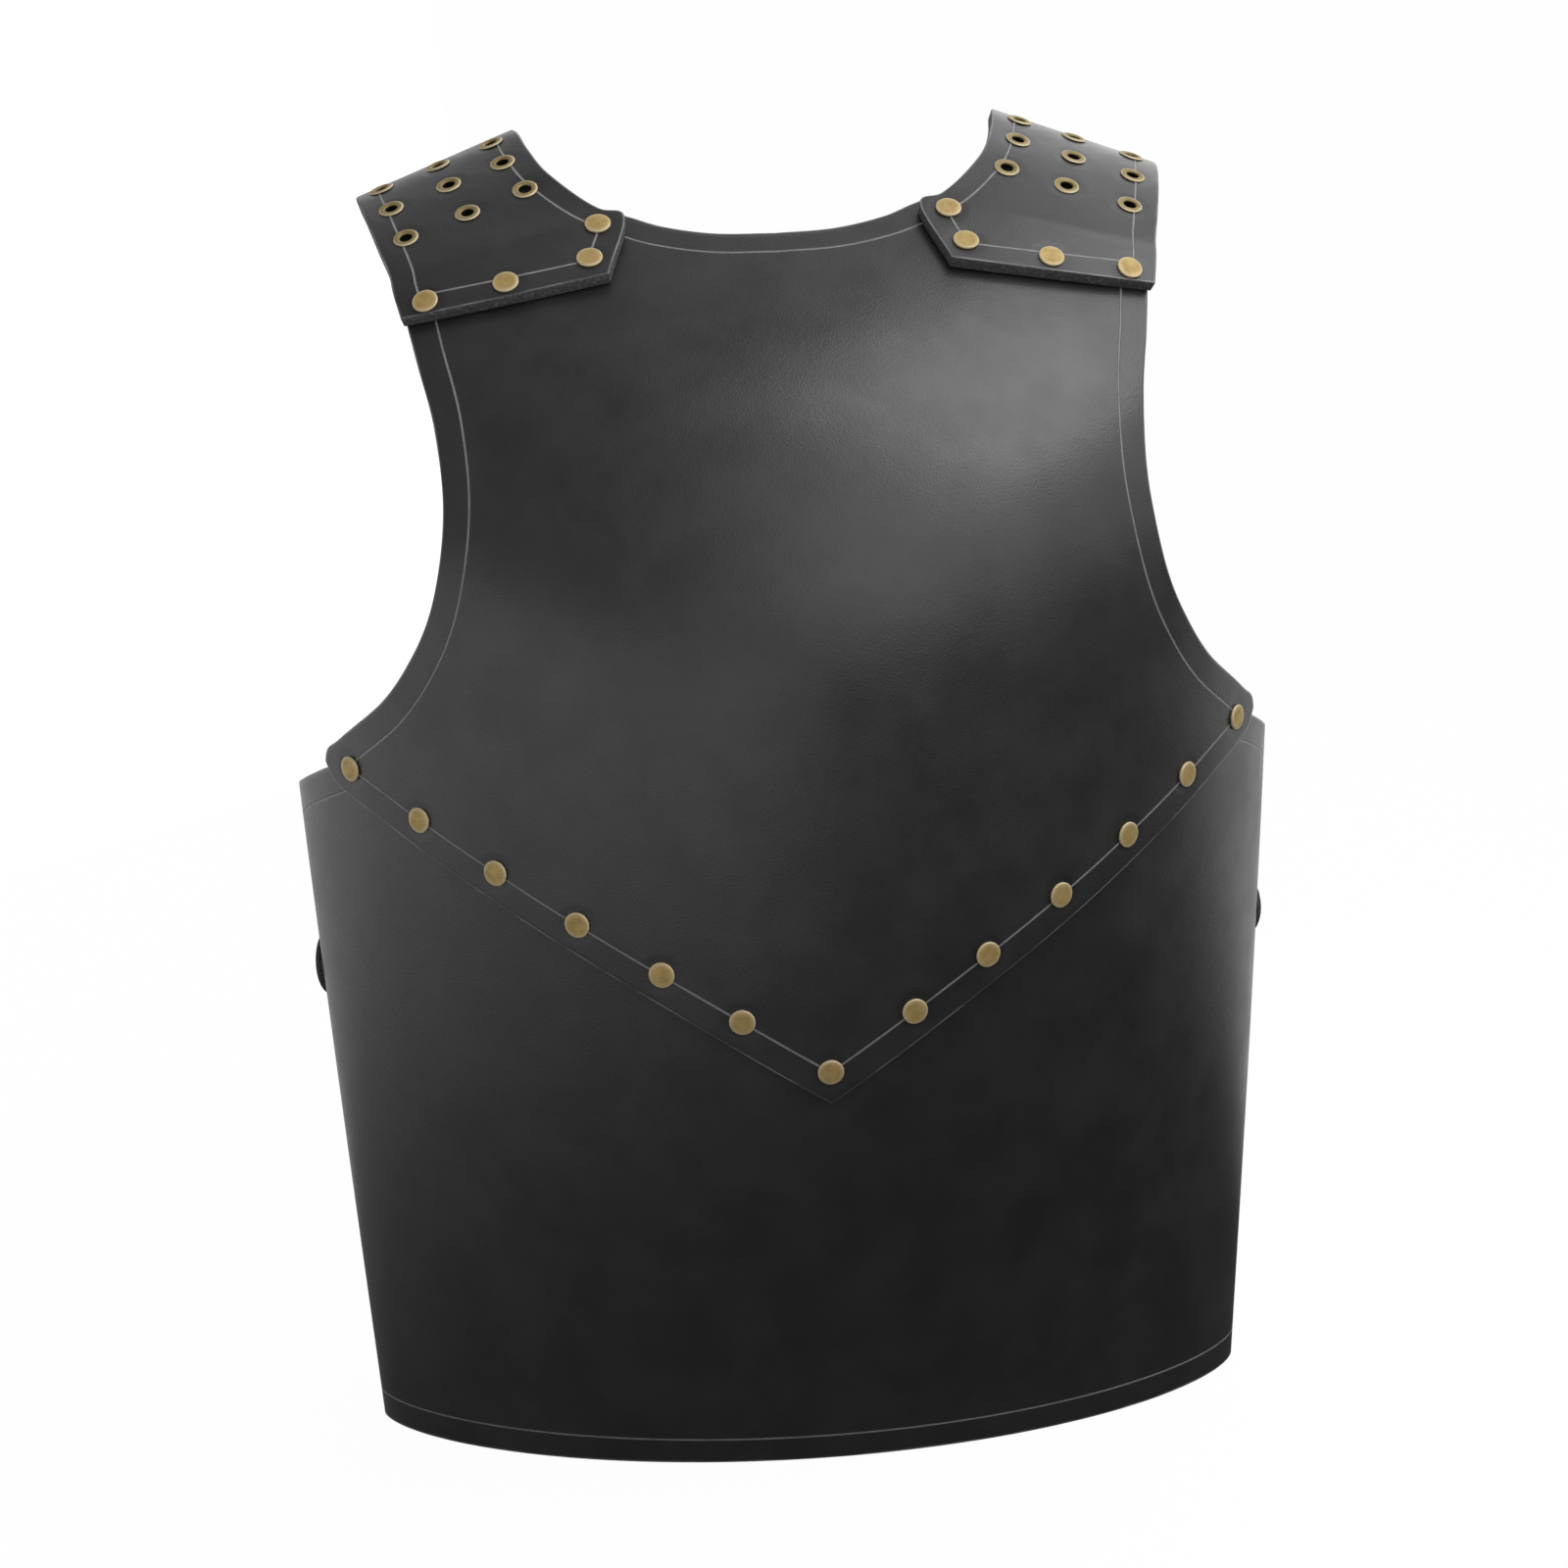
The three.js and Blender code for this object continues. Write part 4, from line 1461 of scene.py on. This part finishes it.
@dataclass(frozen=True)
class SoftBox:
    """Rectangular light, in metres and watts."""

    name: str
    place: Triple
    aim: Triple
    width: float
    height: float
    power: float

    def build(self) -> None:
        """Hangs the light."""
        data = bpy.data.lights.new(self.name, "AREA")
        data.shape = "RECTANGLE"
        data.size, data.size_y, data.energy = self.width, self.height, self.power
        lamp = bpy.data.objects.new(self.name, data)
        lamp.location = self.place
        lamp.rotation_euler = (Vector(self.aim) - Vector(self.place)).to_track_quat("-Z", "Y").to_euler()
        bpy.context.scene.collection.objects.link(lamp)


@dataclass
class Studio:
    """Camera, floor, backdrop and lights."""

    azimuth: float = -5.146
    elevation: float = 14.113
    roll: float = -2.144
    distance: float = 1.4926
    aside: float = -0.01277
    above: float = 0.24807
    lens: float = 83.957
    sensor: float = 36.0
    clip: Pair = (0.05, 100.0)
    floor_half: float = 30.0
    floor_colour: Triple = (0.80, 0.80, 0.80)
    floor_seen_lit: float = 0.97
    boxes: tuple[SoftBox, ...] = (
        SoftBox("overhead_right", (0.49, -0.28, 1.14), (0.06, -0.05, 0.35), 0.62, 0.82, 5.7),
        SoftBox("rear_left", (-1.5, 1.2, 0.5), (-0.18, 0.0, 0.2), 0.5, 1.2, 3.0),
    )

    def camera(self) -> None:
        """Sets the camera up."""
        a, e, r = (math.radians(v) for v in (self.azimuth, self.elevation, self.roll))
        back = Vector((math.sin(a) * math.cos(e), -math.cos(a) * math.cos(e), math.sin(e)))
        level = Vector((math.cos(a), math.sin(a), 0))
        upright = back.cross(level)
        right = math.cos(r) * level + math.sin(r) * upright
        up = -math.sin(r) * level + math.cos(r) * upright
        eye = self.distance * back + self.aside * right + self.above * up + Vector((0, CENTRING * MM, 0))
        data = bpy.data.cameras.new("camera")
        data.lens, data.sensor_width = self.lens, self.sensor
        data.clip_start, data.clip_end = self.clip
        camera = bpy.data.objects.new("camera", data)
        turn = Matrix((right, up, back)).transposed().to_4x4()
        camera.matrix_world = Matrix.Translation(eye) @ turn
        bpy.context.scene.collection.objects.link(camera)
        bpy.context.scene.camera = camera

    def floor(self) -> None:
        """Lays the pale floor, which shows white and lights the part unevenly."""
        h = self.floor_half
        mesh = bpy.data.meshes.new("floor")
        mesh.from_pydata([(-h, -h, 0), (h, -h, 0), (h, h, 0), (-h, h, 0)], [], [(0, 1, 2, 3)])
        floor = new_object("floor", mesh)
        material = bpy.data.materials.new("pale_floor")
        graph = bare(material)
        matte = graph.first("ShaderNodeBsdfDiffuse", {"Color": rgba(self.floor_colour)})
        seen = graph.add("ShaderNodeLightPath").outputs["Is Camera Ray"]
        x, y, _ = graph.add("ShaderNodeSeparateXYZ", {0: graph.coordinates()}).outputs
        square = graph.math("ADD", graph.math("POWER", x, 2.0), graph.math("POWER", y, 2.0))
        near = graph.ranged(x, -0.5, 0.5, 1.55, 0.28)
        ahead = graph.math("MULTIPLY", graph.ranged(graph.math("SQRT", square), 0.15, 1.6, 0.15, 0.95), near)
        behind = graph.ranged(y, 0.08, 0.35, 0.0, 1.0)
        glow = graph.math("MAXIMUM", seen, graph.math("MAXIMUM", ahead, behind))
        light = graph.first("ShaderNodeEmission", {"Color": WHITE, "Strength": glow})
        share = graph.ranged(seen, 0.0, 1.0, 1.0, self.floor_seen_lit)
        mixed = graph.first("ShaderNodeMixShader", {0: share, 1: matte, 2: light})
        graph.add("ShaderNodeOutputMaterial", {"Surface": mixed})
        mesh.materials.append(material)

    def world(self) -> None:
        """White surroundings that light the part only dimly, from the right more than from the left."""
        world = bpy.data.worlds.new("studio")
        graph = bare(world)
        seen = graph.add("ShaderNodeLightPath").outputs["Is Camera Ray"]
        x, _, z = graph.add("ShaderNodeSeparateXYZ", {0: graph.coordinates("Generated")}).outputs
        rightward = graph.ranged(x, -0.38, 0.3, 0.0, 1.0)
        far_right = graph.ranged(x, 0.45, 0.85, 1.0, 0.6)
        upward = graph.math("MULTIPLY", graph.ranged(z, -0.2, 0.3, 0.0, 1.55), far_right)
        below_top = graph.ranged(z, 0.75, 0.95, 1.0, 0.15)
        lit = graph.math("MULTIPLY", graph.math("MULTIPLY", rightward, upward), below_top)
        room = graph.math("ADD", lit, graph.ranged(z, -0.1, 0.9, 0.54, 0.33))
        strength = graph.math("MAXIMUM", seen, room)
        sky = graph.first("ShaderNodeBackground", {"Color": WHITE, "Strength": strength})
        graph.add("ShaderNodeOutputWorld", {"Surface": sky})
        bpy.context.scene.world = world

    def build(self) -> None:
        """Builds the whole studio."""
        self.camera()
        self.floor()
        self.world()
        for box in self.boxes:
            box.build()
        bpy.context.scene.view_settings.view_transform = "Standard"


# ---- everything in order


def main() -> None:
    """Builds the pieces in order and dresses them."""
    logging.basicConfig(level=logging.INFO, format="%(name)s: %(message)s")
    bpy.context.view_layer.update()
    finishes = Finishes()
    plates, straps, tabs = Plates(finishes), Straps(finishes), SideTabs(finishes)
    straps.prepare(plates.chest_outer)
    tabs.prepare()
    plates.build(tabs.rivet_seats, straps.rivet_seats)
    straps.build()
    tabs.build()
    Fasteners(finishes).build(plates, straps, tabs)
    Studio().build()
    log.info("sizes written")


if __name__ == "__main__":
    main()
